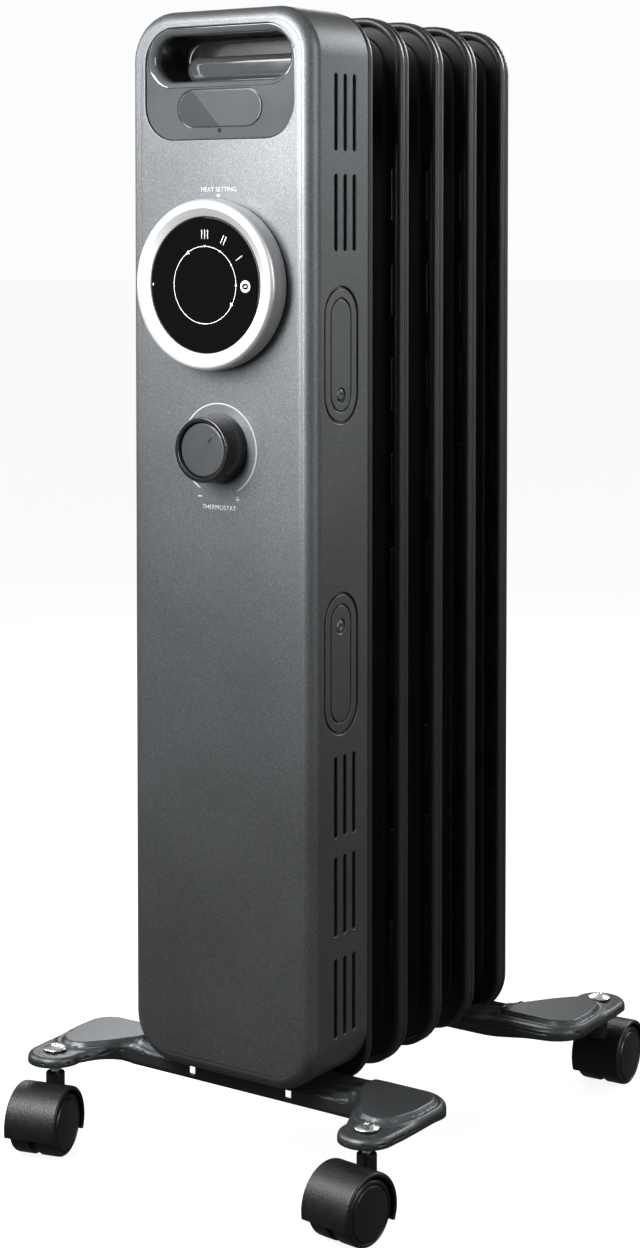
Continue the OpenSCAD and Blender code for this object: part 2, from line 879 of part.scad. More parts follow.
// One wheel of the pair; side is 1 towards the axle's +x end and -1 towards the other
module caster_wheel(i, side)
{
    r = wheel_r;
    out_x = wheel_in_x + wheel_w;
    color("#26282a") placed_caster(i) on_axle() scale([1, 1, side]) rotate_extrude() polygon([
        [axle_r + FIT, wheel_in_x], [r - 0.6, wheel_in_x], [r, wheel_in_x + 0.6], [r, out_x - 2.2],
        [r - 1.2, out_x - 0.5], [r - 2.4, out_x - 0.4], [r - 2.7, out_x - 1.1],
        [r - 3.2, out_x - 0.2], [6, out_x + 0.5], [0, out_x + 0.6], [0, wheel_in_x + 10.2],
        [axle_r + FIT, wheel_in_x + 10.2]
    ]);
}

// ---- nodes ------------------------------------------------------------------------------

for (i = [1:5])
    fin(i);
collars(header_high_z);  // upper_collars
collars(header_low_z);  // lower_collars
heating_element();
element_flange();
filler_plug();
casing();
handle_panel();
badge_plate();
pilot_lamp();
side_clips();
clip_screws();
control_bracket();
rotary_switch();
thermostat();
heat_shield();
thermal_cutout();
tip_over_switch();
terminal_block();
wiring();
cord_inlet_bush();
dial_bezel();
dial_carrier();
dial_glass();
control_shaft(dial_z, 6.8);  // dial_shaft
knob_shell();
knob_cap();
control_shaft(knob_z, 9.5);  // knob_shaft
foot(true);  // front_foot
foot(false);  // rear_foot
saddle(true);  // front_saddle
saddle(false);  // rear_saddle
u_bolts();
bolt_nuts();
caster_stems();
cap_nuts();
for (i = [0:3]) {
    caster_hood(i);
    caster_axle(i);
    caster_wheel(i, i == 0 || i == 3 ? -1 : 1);
    caster_wheel(i, i == 0 || i == 3 ? 1 : -1);
}
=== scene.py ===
"""Looks of the oil filled radiator heater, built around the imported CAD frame. Lengths are in millimetres
until put() writes them, in metres, into a mesh."""

import json
import math

import bmesh
import bpy
import numpy as np
from mathutils import Matrix, Vector, geometry


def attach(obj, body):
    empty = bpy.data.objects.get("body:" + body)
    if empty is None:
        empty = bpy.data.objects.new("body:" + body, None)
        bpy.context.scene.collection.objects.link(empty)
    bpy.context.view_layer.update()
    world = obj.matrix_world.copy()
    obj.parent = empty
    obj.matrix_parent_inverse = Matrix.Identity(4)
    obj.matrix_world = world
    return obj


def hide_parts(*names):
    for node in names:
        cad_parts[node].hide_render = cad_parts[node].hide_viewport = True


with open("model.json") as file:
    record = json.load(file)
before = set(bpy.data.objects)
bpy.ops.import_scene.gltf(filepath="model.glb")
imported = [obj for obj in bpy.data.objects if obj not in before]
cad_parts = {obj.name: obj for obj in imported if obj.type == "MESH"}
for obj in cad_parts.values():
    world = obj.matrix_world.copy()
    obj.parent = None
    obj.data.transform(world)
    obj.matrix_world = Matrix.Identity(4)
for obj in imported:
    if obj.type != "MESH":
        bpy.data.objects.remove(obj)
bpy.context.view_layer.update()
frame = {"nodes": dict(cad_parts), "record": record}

MM = 0.001
FY = -108.8  # the casing's front face
TOP = 620.0
BODY_W = 120.0
PLACES = ["front_left", "front_right", "rear_left", "rear_right"]
TURNS = [15.0, -6.0, 177.0, 183.0]  # how each caster stands turned, in degrees
STEM_X = 102.9
STEM_FRONT = -14.3  # the stems' lines, behind the casing's front face
STEM_REAR = 233.8
TRAIL = 13.7  # from a stem to its axle
WHEEL_R = 17.0
DIAL_Z = 475.4
KNOB_Z = 389.5
BADGE_Z = 568.0
FIN_LOW = 43.5
FIN_TOP = 619.5
FIN_Y1 = FY + 52.3  # the first fin's middle plane
FIN_PITCH = 35.7


# ---- outlines: closed loops of 2-D points, counter-clockwise ----

def arc(cx, cy, r, a0, a1, n):
    t = np.radians(np.linspace(a0, a1, n))
    return np.stack([cx + r * np.cos(t), cy + r * np.sin(t)], 1)


def rounded(w, h, r, cy=0.0, n=12):
    """A rectangle with round corners of n points each, from the upper right one on."""
    x, y = w / 2 - r, h / 2 - r
    return np.concatenate([
        arc(x, cy + y, r, 0, 90, n), arc(-x, cy + y, r, 90, 180, n),
        arc(-x, cy - y, r, 180, 270, n), arc(x, cy - y, r, 270, 360, n)])


def stadium(length, w, cx=0.0, cy=0.0, upright=False, n=17):
    r = w / 2
    s = length / 2 - r
    if upright:
        return np.concatenate([arc(cx, cy + s, r, 0, 180, n), arc(cx, cy - s, r, 180, 360, n)])
    return np.concatenate([arc(cx + s, cy, r, -90, 90, n), arc(cx - s, cy, r, 90, 270, n)])


def ring_of(r, n=48, cx=0.0, cy=0.0):
    return arc(cx, cy, r, 0, 360, n + 1)[:-1]


def round_poly(points, radii, seg=8):
    """A polygon with each corner rounded to its own radius."""
    out = []
    p = [np.array(q, float) for q in points]
    for i, r in enumerate(radii):
        a, b, c = p[i - 1], p[i], p[(i + 1) % len(p)]
        u, v = (a - b) / np.linalg.norm(a - b), (c - b) / np.linalg.norm(c - b)
        half = math.acos(float(u @ v)) / 2
        reach = r / math.tan(half)
        mid = (u + v) / np.linalg.norm(u + v)
        centre = b + mid * r / math.sin(half)
        p0, p1 = b + u * reach - centre, b + v * reach - centre
        a0, a1 = math.atan2(p0[1], p0[0]), math.atan2(p1[1], p1[0])
        turn = (a1 - a0 + math.pi) % (2 * math.pi) - math.pi
        for k in range(seg + 1):
            t = a0 + turn * k / seg
            out.append(centre + r * np.array([math.cos(t), math.sin(t)]))
    return np.array(out)


def resample(loop, step):
    """The same closed loop with points about a step apart, its corners kept."""
    out = []
    for a, b in zip(loop, np.roll(loop, -1, 0)):
        n = max(1, int(round(np.linalg.norm(b - a) / step)))
        out += [a + (b - a) * k / n for k in range(n)]
    return np.array(out)


def normals_of(loop):
    """Inward unit normals of a counter-clockwise loop."""
    d = np.roll(loop, -1, 0) - np.roll(loop, 1, 0)
    n = np.stack([-d[:, 1], d[:, 0]], 1)
    return n / np.maximum(np.linalg.norm(n, axis=1, keepdims=True), 1e-9)


def inside_distance(points, loop):
    """Signed distance from each point to a loop, positive inside."""
    a, b = loop, np.roll(loop, -1, 0)
    d = b - a
    best = np.full(len(points), 1e9)
    for s in range(0, len(points), 2000):
        p = points[s:s + 2000, None, :]
        t = np.clip(((p - a) * d).sum(2) / np.maximum((d * d).sum(1), 1e-12), 0, 1)
        best[s:s + 2000] = np.sqrt((((a + t[..., None] * d) - p) ** 2).sum(2)).min(1)
    x, y = points[:, 0][:, None], points[:, 1][:, None]
    rise = np.where(d[:, 1] == 0, 1e-12, d[:, 1])
    cross = ((a[:, 1] > y) != (b[:, 1] > y)) & (x < d[:, 0] * (y - a[:, 1]) / rise + a[:, 0])
    return np.where(cross.sum(1) % 2 == 1, best, -best)


def smooth(t):
    t = np.clip(t, 0, 1)
    return t * t * (3 - 2 * t)


def quarter(r, n=4):
    """A rounded edge, from its foot to its crest: how far each step has come out, and how far in."""
    return [(r * math.sin(t), r * (1 - math.cos(t))) for t in np.linspace(0, math.pi / 2, n)]


def fillet(r, n=4):
    """A rounded edge, from its crest to its foot: how far each step still has to go, and how far it is."""
    return [(r * (1 - math.sin(t)), r * (1 - math.cos(t))) for t in np.linspace(0, math.pi / 2, n)]


# ---- meshes ----

class Build:
    """Collects vertices, in millimetres, and faces of one piece."""

    def __init__(self):
        self.v = []
        self.f = []

    def add(self, verts, faces):
        base = len(self.v)
        self.v += [tuple(float(c) for c in q) for q in verts]
        self.f += [tuple(base + i for i in f) for f in faces]

    def skin(self, rings, close=(False, False), skip=()):
        """Bridges closed rings of equally many 3-D points. skip names the steps around them to leave open,
        and close says whether the first and the last ring get a face."""
        n = len(rings[0])
        faces = [
            (k * n + i, k * n + (i + 1) % n, (k + 1) * n + (i + 1) % n, (k + 1) * n + i)
            for k in range(len(rings) - 1) for i in range(n) if i not in skip]
        if close[0]:
            faces.append(tuple(range(n))[::-1])
        if close[1]:
            faces.append(tuple((len(rings) - 1) * n + i for i in range(n)))
        self.add(np.concatenate(rings), faces)

    def plate(self, loops, place):
        """A flat face with holes: the first loop is its outline. place turns 2-D points into 3-D ones."""
        flat = np.concatenate(loops)
        tris = geometry.tessellate_polygon([[Vector((x, y, 0)) for x, y in loop] for loop in loops])
        self.add(place(flat), [t for t in tris if len(set(t)) == 3])

    def moved(self, matrix):
        self.v = [tuple(matrix @ Vector(q)) for q in self.v]


def new_object(name, data):
    obj = bpy.data.objects.new(name, data)
    bpy.context.scene.collection.objects.link(obj)
    return obj


def solidify(obj, thickness, **settings):
    solid = obj.modifiers.new("solid", "SOLIDIFY")
    solid.thickness = thickness * MM
    solid.offset = -1
    for key, value in settings.items():
        setattr(solid, key, value)


def put(build, name, body, slot, stands_for=(), material=None, sharp=32, merge=0.0015, extra=None,
        weighted=True):
    """Turns a build into a piece of the object. Its material is the slot's, unless another is given."""
    mesh = bpy.data.meshes.new(name)
    mesh.from_pydata([tuple(c * MM for c in q) for q in build.v], [], build.f)
    bm = bmesh.new()
    bm.from_mesh(mesh)
    bmesh.ops.remove_doubles(bm, verts=bm.verts, dist=merge * MM)
    bmesh.ops.dissolve_degenerate(bm, edges=bm.edges, dist=1e-7)
    bmesh.ops.recalc_face_normals(bm, faces=bm.faces)
    bm.to_mesh(mesh)
    bm.free()
    obj = new_object(name, mesh)
    mesh.shade_smooth()
    mesh.set_sharp_from_angle(angle=math.radians(sharp))
    if extra:
        extra(obj)
    if weighted:
        obj.modifiers.new("weighted_normals", "WEIGHTED_NORMAL").keep_sharp = True
    mesh.materials.append(material or MAT[slot])
    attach(obj, body)
    if stands_for:
        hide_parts(*stands_for)


def facing(y):
    """2-D points (x, z) stood up in the plane at y."""
    return lambda p: np.stack([p[:, 0], np.full(len(p), y), p[:, 1]], 1)


def sideways(x):
    """2-D points (y, z) in the plane at x."""
    return lambda p: np.stack([np.full(len(p), x), p[:, 0], p[:, 1]], 1)


def lathe(build, profile, place, n=96, closed=True):
    """Turns a profile of (radius, height) around an axis; place(x, y, h) gives the 3-D points."""
    t = np.linspace(0, 2 * math.pi, n, endpoint=False)
    rings = [place(r * np.cos(t), r * np.sin(t), np.full(n, float(h))) for r, h in profile]
    if closed:
        rings.append(rings[0])
    build.skin(rings, close=(not closed, not closed))


def from_face(z):
    """Places a lathed shape so that its height runs out of the casing's front face."""
    return lambda x, y, h: np.stack([x, FY - h, z + y], 1)


# ---- materials ----

def fill_ramp(node, stops):
    """Gives a colour ramp its stops; a plain number is a grey."""
    elements = node.color_ramp.elements
    while len(elements) < len(stops):
        elements.new(0.5)
    for element, (at, colour) in zip(elements, stops):
        element.position = at
        element.color = (*colour, 1.0) if hasattr(colour, "__len__") else (colour, colour, colour, 1.0)


class Nodes:
    """A small helper for building a node material."""

    def __init__(self, name):
        self.material = bpy.data.materials.new(name)
        self.material.use_nodes = True
        self.tree = self.material.node_tree
        self.tree.nodes.clear()
        self.shader = self.new("ShaderNodeBsdfPrincipled")
        out = self.new("ShaderNodeOutputMaterial")
        self.link(self.shader.outputs[0], out.inputs[0])
        self.place = self.new("ShaderNodeTexCoord").outputs["Object"]

    def new(self, kind, **settings):
        node = self.tree.nodes.new(kind)
        for key, value in settings.items():
            setattr(node, key, value)
        return node

    def link(self, a, b):
        self.tree.links.new(a, b)

    def noise(self, scale, detail=3.0, roughness=0.55, squash=(1, 1, 1)):
        """Noise with features of about 1/scale metres."""
        mapping = self.new("ShaderNodeMapping")
        mapping.inputs["Scale"].default_value = squash
        self.link(self.place, mapping.inputs["Vector"])
        node = self.new("ShaderNodeTexNoise")
        node.inputs["Scale"].default_value = scale
        node.inputs["Detail"].default_value = detail
        node.inputs["Roughness"].default_value = roughness
        self.link(mapping.outputs[0], node.inputs["Vector"])
        return node.outputs["Fac"]

    def cells(self, scale):
        node = self.new("ShaderNodeTexVoronoi")
        node.inputs["Scale"].default_value = scale
        self.link(self.place, node.inputs["Vector"])
        split = self.new("ShaderNodeSeparateColor")
        self.link(node.outputs["Color"], split.inputs[0])
        return split.outputs[0]

    def ramp(self, value, stops):
        node = self.new("ShaderNodeValToRGB")
        fill_ramp(node, stops)
        self.link(value, node.inputs["Fac"])
        return node.outputs["Color"]

    def span(self, value, low, high, from_low=0.3, from_high=0.7):
        node = self.new("ShaderNodeMapRange")
        for socket, number in zip(node.inputs[1:5], (from_low, from_high, low, high)):
            socket.default_value = number
        self.link(value, node.inputs[0])
        return node.outputs[0]

    def feed(self, socket, value):
        """Links a socket to another node's output, or sets it to a colour or a number."""
        if hasattr(value, "links"):
            self.link(value, socket)
        elif hasattr(value, "__len__"):
            socket.default_value = (*value, 1.0)
        else:
            socket.default_value = value

    def mix(self, fac, a, b, blend="MIX"):
        node = self.new("ShaderNodeMix", data_type="RGBA", blend_type=blend)
        for socket, value in ((node.inputs[0], fac), (node.inputs[6], a), (node.inputs[7], b)):
            self.feed(socket, value)
        return node.outputs[2]

    def bump(self, value, strength, distance_mm, normal=None):
        node = self.new("ShaderNodeBump")
        node.inputs["Strength"].default_value = strength
        node.inputs["Distance"].default_value = distance_mm * MM
        self.link(value, node.inputs["Height"])
        if normal is not None:
            self.link(normal, node.inputs["Normal"])
        return node.outputs[0]

    def set(self, **sockets):
        for key, value in sockets.items():
            self.feed(self.shader.inputs[key.replace("_", " ")], value)
        return self.material


def metallic_paint(name, colour, roughness, metallic=0.85, flake=0.22, dust=0.12, peel=0.03):
    """Sprayed paint with metal flakes, each a little lighter or darker, over a slow drift of tone."""
    m = Nodes(name)
    c = np.array(colour)
    drift = m.ramp(m.noise(9.0, 2.0), [(0.3, tuple(c * (1 - dust))), (0.7, tuple(c * (1 + dust)))])
    flakes = m.ramp(m.cells(2600.0), [(0.0, 1 - flake), (0.86, 1 + 0.4 * flake), (1.0, 1 + 2.0 * flake)])
    grain = m.ramp(m.noise(1400.0, 2.0), [(0.3, 1 - 0.4 * flake), (0.7, 1 + 0.4 * flake)])
    colour_out = m.mix(1.0, m.mix(1.0, drift, flakes, "MULTIPLY"), grain, "MULTIPLY")
    rough = m.span(m.noise(700.0, 3.0), roughness - 0.02, roughness + 0.03)
    normal = m.bump(m.noise(1500.0, 2.0), peel, 0.1, m.bump(m.cells(2600.0), peel * 0.8, 0.1))
    return m.set(Base_Color=colour_out, Metallic=metallic, Roughness=rough, Normal=normal)


def powder_coat(name, colour, roughness, grain):
    """Textured powder coat: a fine pebbled skin that catches light on its bumps."""
    m = Nodes(name)
    c = np.array(colour)
    speck = m.ramp(m.noise(1500.0, 3.0), [(0.35, tuple(c * 0.72)), (0.65, tuple(c * 1.35))])
    wear = m.ramp(m.noise(14.0, 3.0), [(0.3, 0.85), (0.7, 1.15)])
    rough = m.span(m.noise(1100.0, 2.0), roughness - 0.08, roughness + 0.1)
    normal = m.bump(m.noise(1250.0, 3.0), grain, 0.25, m.bump(m.noise(260.0, 2.0), grain * 0.3, 0.4))
    return m.set(Base_Color=m.mix(1.0, speck, wear, "MULTIPLY"), Roughness=rough, Normal=normal,
                 Specular_IOR_Level=0.55)


def moulded(name, colour, roughness, grain=0.0, grain_scale=1400.0, coat=0.0, specular=0.5):
    """Moulded plastic: slow tone drift, fine grain or a polished skin with faint scuffs."""
    m = Nodes(name)
    c = np.array(colour)
    tone = m.ramp(m.noise(26.0, 3.0), [(0.3, tuple(c * 0.92)), (0.7, tuple(c * 1.08))])
    speck = 0.25 * min(1, grain * 3)
    fine = m.ramp(m.noise(grain_scale, 2.0), [(0.3, 1 - speck), (0.7, 1 + speck)])
    rough = m.span(m.noise(180.0, 4.0, 0.6), max(0.02, roughness - 0.03), roughness + 0.05)
    height = m.noise(grain_scale, 3.0) if grain else m.noise(60.0, 2.0)
    normal = m.bump(height, grain if grain else 0.02, 0.2)
    return m.set(Base_Color=m.mix(1.0, tone, fine, "MULTIPLY"), Roughness=rough, Normal=normal,
                 Coat_Weight=coat, Coat_Roughness=0.06, Specular_IOR_Level=specular)


def metal(name, colour, roughness, brushed=0.0, squash=(1, 1, 1), stain=0.05):
    """Plated or drawn metal, with a faint lay of scratches and uneven tarnish."""
    m = Nodes(name)
    c = np.array(colour)
    bright = np.minimum(c * (1 + stain), 1)
    tone = m.ramp(m.noise(45.0, 4.0), [(0.3, tuple(c * (1 - stain))), (0.7, tuple(bright))])
    scratches = m.noise(900.0, 4.0, 0.6, squash)
    rough = m.span(scratches, max(0.02, roughness - 0.05), roughness + 0.08)
    normal = m.bump(scratches, 0.02 + brushed, 0.1)
    return m.set(Base_Color=tone, Metallic=1.0, Roughness=rough, Normal=normal)


def print_ink(name, colour):
    m = Nodes(name)
    c = np.array(colour)
    tone = m.ramp(m.noise(1600.0, 2.0), [(0.35, tuple(c * 0.94)), (0.65, tuple(np.minimum(c * 1.03, 1)))])
    return m.set(Base_Color=tone, Roughness=m.span(m.noise(800.0), 0.45, 0.55))


def painted_reflection_gloss(name, dark, pale, origin, slope):
    """Gloss plastic with a painted reflection: a darker tone and a paler one, met along a slanting line
    through the origin given, in (x, z); the paler side is the painted reflection.
    """
    m = Nodes(name)
    split = m.new("ShaderNodeSeparateXYZ")
    m.link(m.place, split.inputs[0])
    line = m.new("ShaderNodeMath", operation="MULTIPLY_ADD")
    line.inputs[1].default_value = slope
    m.link(split.outputs["X"], line.inputs[0])
    m.link(split.outputs["Z"], line.inputs[2])
    edge = origin[1] + slope * origin[0]
    side = m.span(line.outputs[0], 0.0, 1.0, (edge - 0.3) * MM, (edge + 0.3) * MM)
    drift = m.ramp(m.noise(30.0, 2.0), [(0.3, 0.94), (0.7, 1.06)])
    # the paler tone on one side of the line is a painted reflection
    tone = m.mix(1.0, m.mix(side, dark, pale), drift, "MULTIPLY")
    rough = m.span(m.noise(180.0, 4.0, 0.6), 0.1, 0.16)
    return m.set(Base_Color=tone, Roughness=rough, Coat_Weight=0.7, Coat_Roughness=0.06,
                 Specular_IOR_Level=0.6, Normal=m.bump(m.noise(60.0, 2.0), 0.02, 0.2))


MAT = {
    "fin_coat": powder_coat("fin_coat", (0.011, 0.012, 0.0125), 0.42, 0.4),
    "casing_paint": metallic_paint("casing_paint", (0.118, 0.125, 0.131), 0.47),
    "panel_gloss": moulded("panel_gloss", (0.054, 0.058, 0.060), 0.12, coat=0.8, specular=0.6),
    # the badge's paler side of a slanting line is a painted reflection, not a tone the plastic has
    "badge_gloss": painted_reflection_gloss(
        "badge_gloss", (0.036, 0.039, 0.041), (0.056, 0.060, 0.062), (-9.0, BADGE_Z), 1.05),
    "lamp_lens": moulded("lamp_lens", (0.008, 0.0015, 0.0012), 0.5, specular=0.15),
    "silver_ring": metallic_paint(
        "silver_ring", (0.46, 0.47, 0.48), 0.42, metallic=0.7, flake=0.05, dust=0.02, peel=0.01),
    "black_glass": moulded("black_glass", (0.0025, 0.0025, 0.003), 0.05, specular=0.12),
    "black_plastic": moulded("black_plastic", (0.007, 0.007, 0.0076), 0.24, coat=0.15),
    "knob_grey": moulded("knob_grey", (0.030, 0.033, 0.035), 0.36, grain=0.06),
    "foot_paint": metallic_paint("foot_paint", (0.074, 0.080, 0.083), 0.44, flake=0.12, peel=0.05),
    "caster_plastic": moulded("caster_plastic", (0.0055, 0.0058, 0.006), 0.42, grain=0.7, grain_scale=900.0),
    "wheel_plastic": moulded("wheel_plastic", (0.0095, 0.010, 0.0103), 0.33, grain=0.08),
    "chrome": metal("chrome", (0.9, 0.91, 0.92), 0.24),
    "zinc_steel": metal("zinc_steel", (0.52, 0.53, 0.54), 0.34, 0.05, (1, 1, 0.08), 0.12),
    "element_steel": metal("element_steel", (0.36, 0.35, 0.34), 0.4, 0.05, (1, 0.1, 1), 0.15),
    "brass": metal("brass", (0.62, 0.46, 0.2), 0.3, 0.04, stain=0.12),
    "ivory_plastic": moulded("ivory_plastic", (0.62, 0.58, 0.48), 0.45, grain=0.1),
    "grey_plastic": moulded("grey_plastic", (0.2, 0.21, 0.215), 0.45, grain=0.1),
    "black_rubber": moulded("black_rubber", (0.014, 0.014, 0.014), 0.62, grain=0.25),
    "wire_red": moulded("wire_red", (0.4, 0.03, 0.02), 0.4, grain=0.05),
}
LEDGE_GLOSS = moulded("ledge_gloss", (0.036, 0.039, 0.041), 0.08, coat=1.0, specular=0.6)
WHITE_INK = print_ink("white_ink", (0.66, 0.67, 0.67))
PALE_INK = print_ink("pale_ink", (0.28, 0.29, 0.295))
DARK_INK = print_ink("dark_ink", (0.006, 0.006, 0.006))

for entry in frame["record"]["subparts"]:
    node = frame["nodes"][entry["node"]]
    node.data.materials.clear()
    node.data.materials.append(MAT[entry["material_slot"]])


# ---- casing ----

CASING_Z = 53.0
CASING_H = TOP - CASING_Z
CASING_MID = CASING_Z + CASING_H / 2
CASING_D = 51.2
CASING_R = 26.0
WALL = 2.2
EDGE_R = 8.0
CREASE = [(7.1, 0.26), (7.6, 0.24), (8.0, 0.0)]  # a fine crease where the front edge meets the flat front
LIP = 0.6  # the rolled rear edge
CORNER_N = 14
PANEL = dict(w=98.0, low=551.5, high=611.0, r=19.0)
OPENING_EDGE = 0.5
SHAFT_HOLE_R = 4.5
VENT_YS = [21.3, 29.8, 38.3]
VENT_ROWS = [(80, 122), (134, 176), (186, 229), (493, 533), (545, 585)]
VENT_W = 3.0
INLET = dict(y=32, z=101, r=6)  # the cord's inlet, in the left wall only
CLIP_Y = 26.4
CLIP_W = 31.5
CLIPS = [(240, 315), (403, 475)]
CLIP_SCREWS = [297, 418]
CLIP_DEPTH = 1.6  # of the recess round a clip
RECESS_EDGE = 0.4
SCREW_HOLE_R = 2.1
CLIP_GAP = 1.35
CLIP_RING_W = 4.75
CLIP_PLATE_GAP = 0.8
CLIP_SINK = 0.25
CLIP_EDGE = 0.35
SCREW_SINK = 1.1


def casing_ring(inset, y):
    loop = rounded(BODY_W - 2 * inset, CASING_H - 2 * inset, CASING_R - inset, CASING_MID, CORNER_N)
    return facing(y)(loop)


def panel_outline(inset=0.0):
    h = PANEL["high"] - PANEL["low"]
    return rounded(PANEL["w"] - 2 * inset, h - 2 * inset, PANEL["r"] - inset, PANEL["low"] + h / 2)


def clip_outline(clip, inset):
    """The recess of a side clip, in (y, z), or a smaller outline within it."""
    low, high = clip
    return stadium(high - low - 2 * inset, CLIP_W - 2 * inset, FY + CLIP_Y, (low + high) / 2, True, 20)


def build_casing():
    b = Build()
    side = [CORNER_N * 2 - 1, CORNER_N * 4 - 1]  # the steps that cross the flat left and right walls
    y_flat, y_lip, y_rear = FY + EDGE_R, FY + CASING_D - LIP, FY + CASING_D
    z0, z1 = CASING_Z + CASING_R, TOP - CASING_R
    front = [casing_ring(EDGE_R * (1 - math.cos(t)), FY + EDGE_R * (1 - math.sin(t)))
             for t in np.linspace(0, math.radians(80), 11)]
    front += [casing_ring(inset, FY + deep) for inset, deep in CREASE]
    b.skin(front)
    b.skin([front[0], casing_ring(0, y_lip)], skip=side)
    b.skin([casing_ring(inset, y_lip + out) for out, inset in quarter(LIP)] + [casing_ring(WALL, y_rear)])
    b.skin([casing_ring(WALL, y_rear), casing_ring(WALL, y_flat)], skip=side)
    b.skin([casing_ring(WALL + inset, FY + WALL + deep) for deep, inset in fillet(EDGE_R - WALL, 5)])
    # the front wall, with the handle panel's opening and the two shaft holes
    openings = [panel_outline] + [
        lambda inset, z=z: ring_of(SHAFT_HOLE_R - inset, 32, 0, z) for z in (DIAL_Z, KNOB_Z)]
    flat = rounded(BODY_W - 2 * EDGE_R, CASING_H - 2 * EDGE_R, CASING_R - EDGE_R, CASING_MID, CORNER_N)
    b.plate([flat] + [f(-OPENING_EDGE) for f in openings], facing(FY))
    for f in openings:
        b.skin([facing(FY + deep)(f(-grow)) for grow, deep in fillet(OPENING_EDGE)]
               + [facing(FY + WALL)(f(0))])
    b.plate([flat] + [f(0) for f in openings], facing(FY + WALL))
    # the side walls, with their vents, clip recesses, screw holes and, on the left, the cord's inlet
    for s in (-1, 1):
        corners = np.array([(y_flat, z0), (y_lip, z0), (y_lip, z1), (y_flat, z1)])
        inner_corners = np.array([(y_flat, z0), (y_rear, z0), (y_rear, z1), (y_flat, z1)])
        x_out, x_in = s * BODY_W / 2, s * (BODY_W / 2 - WALL)
        x_recess = x_out - s * CLIP_DEPTH
        rows = VENT_ROWS if s > 0 else VENT_ROWS[1:]
        through = [
            lambda g, r=r, y=y: stadium(r[1] - r[0] + 2 * g, VENT_W + 2 * g, FY + y, sum(r) / 2, True, 9)
            for r in rows for y in VENT_YS]
        if s < 0:
            through.append(lambda g: ring_of(INLET["r"] + g, 32, FY + INLET["y"], INLET["z"]))
        screws = [ring_of(SCREW_HOLE_R, 24, FY + CLIP_Y, z) for z in CLIP_SCREWS]
        holes = [f(OPENING_EDGE) for f in through] + [clip_outline(clip, -RECESS_EDGE) for clip in CLIPS]
        b.plate([corners] + holes, sideways(x_out))
        for f in through:
            b.skin([sideways(x_out - s * deep)(f(grow)) for grow, deep in fillet(OPENING_EDGE)]
                   + [sideways(x_in)(f(0))])
        for clip, screw in zip(CLIPS, screws):
            steps = [(x_out - s * deep, -grow) for grow, deep in fillet(RECESS_EDGE)] + [(x_recess, 0)]
            b.skin([sideways(x)(clip_outline(clip, inset)) for x, inset in steps])
            b.plate([clip_outline(clip, 0), screw], sideways(x_recess))
            b.skin([sideways(x_recess)(screw), sideways(x_in)(screw)])
        b.plate([inner_corners] + [f(0) for f in through] + screws, sideways(x_in))
    put(b, "casing_shell", "heater", "casing_paint", ["casing"])


def build_clips():
    """Each clip is a round-ended ring and a plate within it, set in the recess with a narrow gap."""
    b = Build()
    top, base = BODY_W / 2 - CLIP_SINK, BODY_W / 2 - CLIP_DEPTH
    shoulder = top - CLIP_EDGE
    ring_in = CLIP_GAP + CLIP_RING_W
    plate_in = ring_in + CLIP_PLATE_GAP
    for s in (-1, 1):
        for clip, screw_z in zip(CLIPS, CLIP_SCREWS):
            def level(x, inset, s=s, clip=clip):
                return sideways(s * x)(clip_outline(clip, inset))
            outer = [level(base, CLIP_GAP)]
            outer += [level(shoulder + out, CLIP_GAP + inset) for out, inset in quarter(CLIP_EDGE)]
            inner = [level(shoulder + out, ring_in - inset) for out, inset in quarter(CLIP_EDGE)[::-1]]
            inner.append(level(base, ring_in))
            b.skin(outer + inner + [outer[0]])
            b.skin([level(base, plate_in)]
                   + [level(shoulder + out, plate_in + inset) for out, inset in quarter(CLIP_EDGE)])
            well = [ring_of(q, 32, FY + CLIP_Y, screw_z) for q in (4.3, 3.9, 3.7, SCREW_HOLE_R)]
            b.plate([clip_outline(clip, plate_in + CLIP_EDGE), well[0]], sideways(s * top))
            b.skin([sideways(s * (top - deep))(loop) for deep, loop in zip((0.0, 0.35, 0.9, 0.95), well)]
                   + [sideways(s * base)(well[3])])
            b.plate([clip_outline(clip, plate_in), well[3]], sideways(s * base))
    put(b, "clip_plates", "heater", "casing_paint", ["side_clips"])


def build_clip_screws():
    """Pan heads with a small recess, sunk in the clips."""
    b = Build()
    head = [(3.3, 0.0), (3.3, 0.15), (3.0, 0.5), (2.2, 0.78), (1.6, 0.84), (1.25, 0.5), (0.9, 0.3),
            (0.05, 0.25)]
    shank = [(1.9, 0.05), (1.9, -9.0), (1.2, -10.8), (0.05, -10.9)]
    for s in (-1, 1):
        for z in CLIP_SCREWS:
            def place(x, y, h, s=s, z=z):
                return np.stack([s * (BODY_W / 2 - SCREW_SINK + h), FY + CLIP_Y + x, z + y], 1)
            lathe(b, head, place, 40, closed=False)
            lathe(b, shank, place, 24, closed=False)
    put(b, "clip_screw_heads", "heater", "casing_paint", ["clip_screws"])


# ---- handle panel ----

GRIP = dict(z=594.7, l=88.0, h=24.0, d=30.0)
FACE = FY + 0.8
LAMP_Z = 556.2
PANEL_GAP = 0.3
PANEL_T = 2.4
PANEL_EDGE = 0.45
MOUTH_R = 5.0
CREASE_STEPS = [(0.0, 0.55), (0.12, 0.42), (0.6, 0.28), (0.2, 0.1), (0.12, 0.0)]  # (deep, grow)
COLLAR_D = 7.0  # the panel's collar, which reaches into the grip
COLLAR_T = 2.0
POCKET_R = 2.5
LEDGE_R = 4.6
LEDGE_FRONT = 21.2
PAD_STEPS = [(22.2, 0), (21.0, 0), (20.8, 0.12), (20.7, 0.4)]  # (deep, inset)
BADGE_EDGE = 0.35


def behind(deep, loop):
    """A loop stood up at a depth behind the handle panel's face."""
    return facing(FACE + deep)(loop)


def grip(grow):
    return stadium(GRIP["l"] + 2 * grow, GRIP["h"] + 2 * grow, 0, GRIP["z"], n=24)


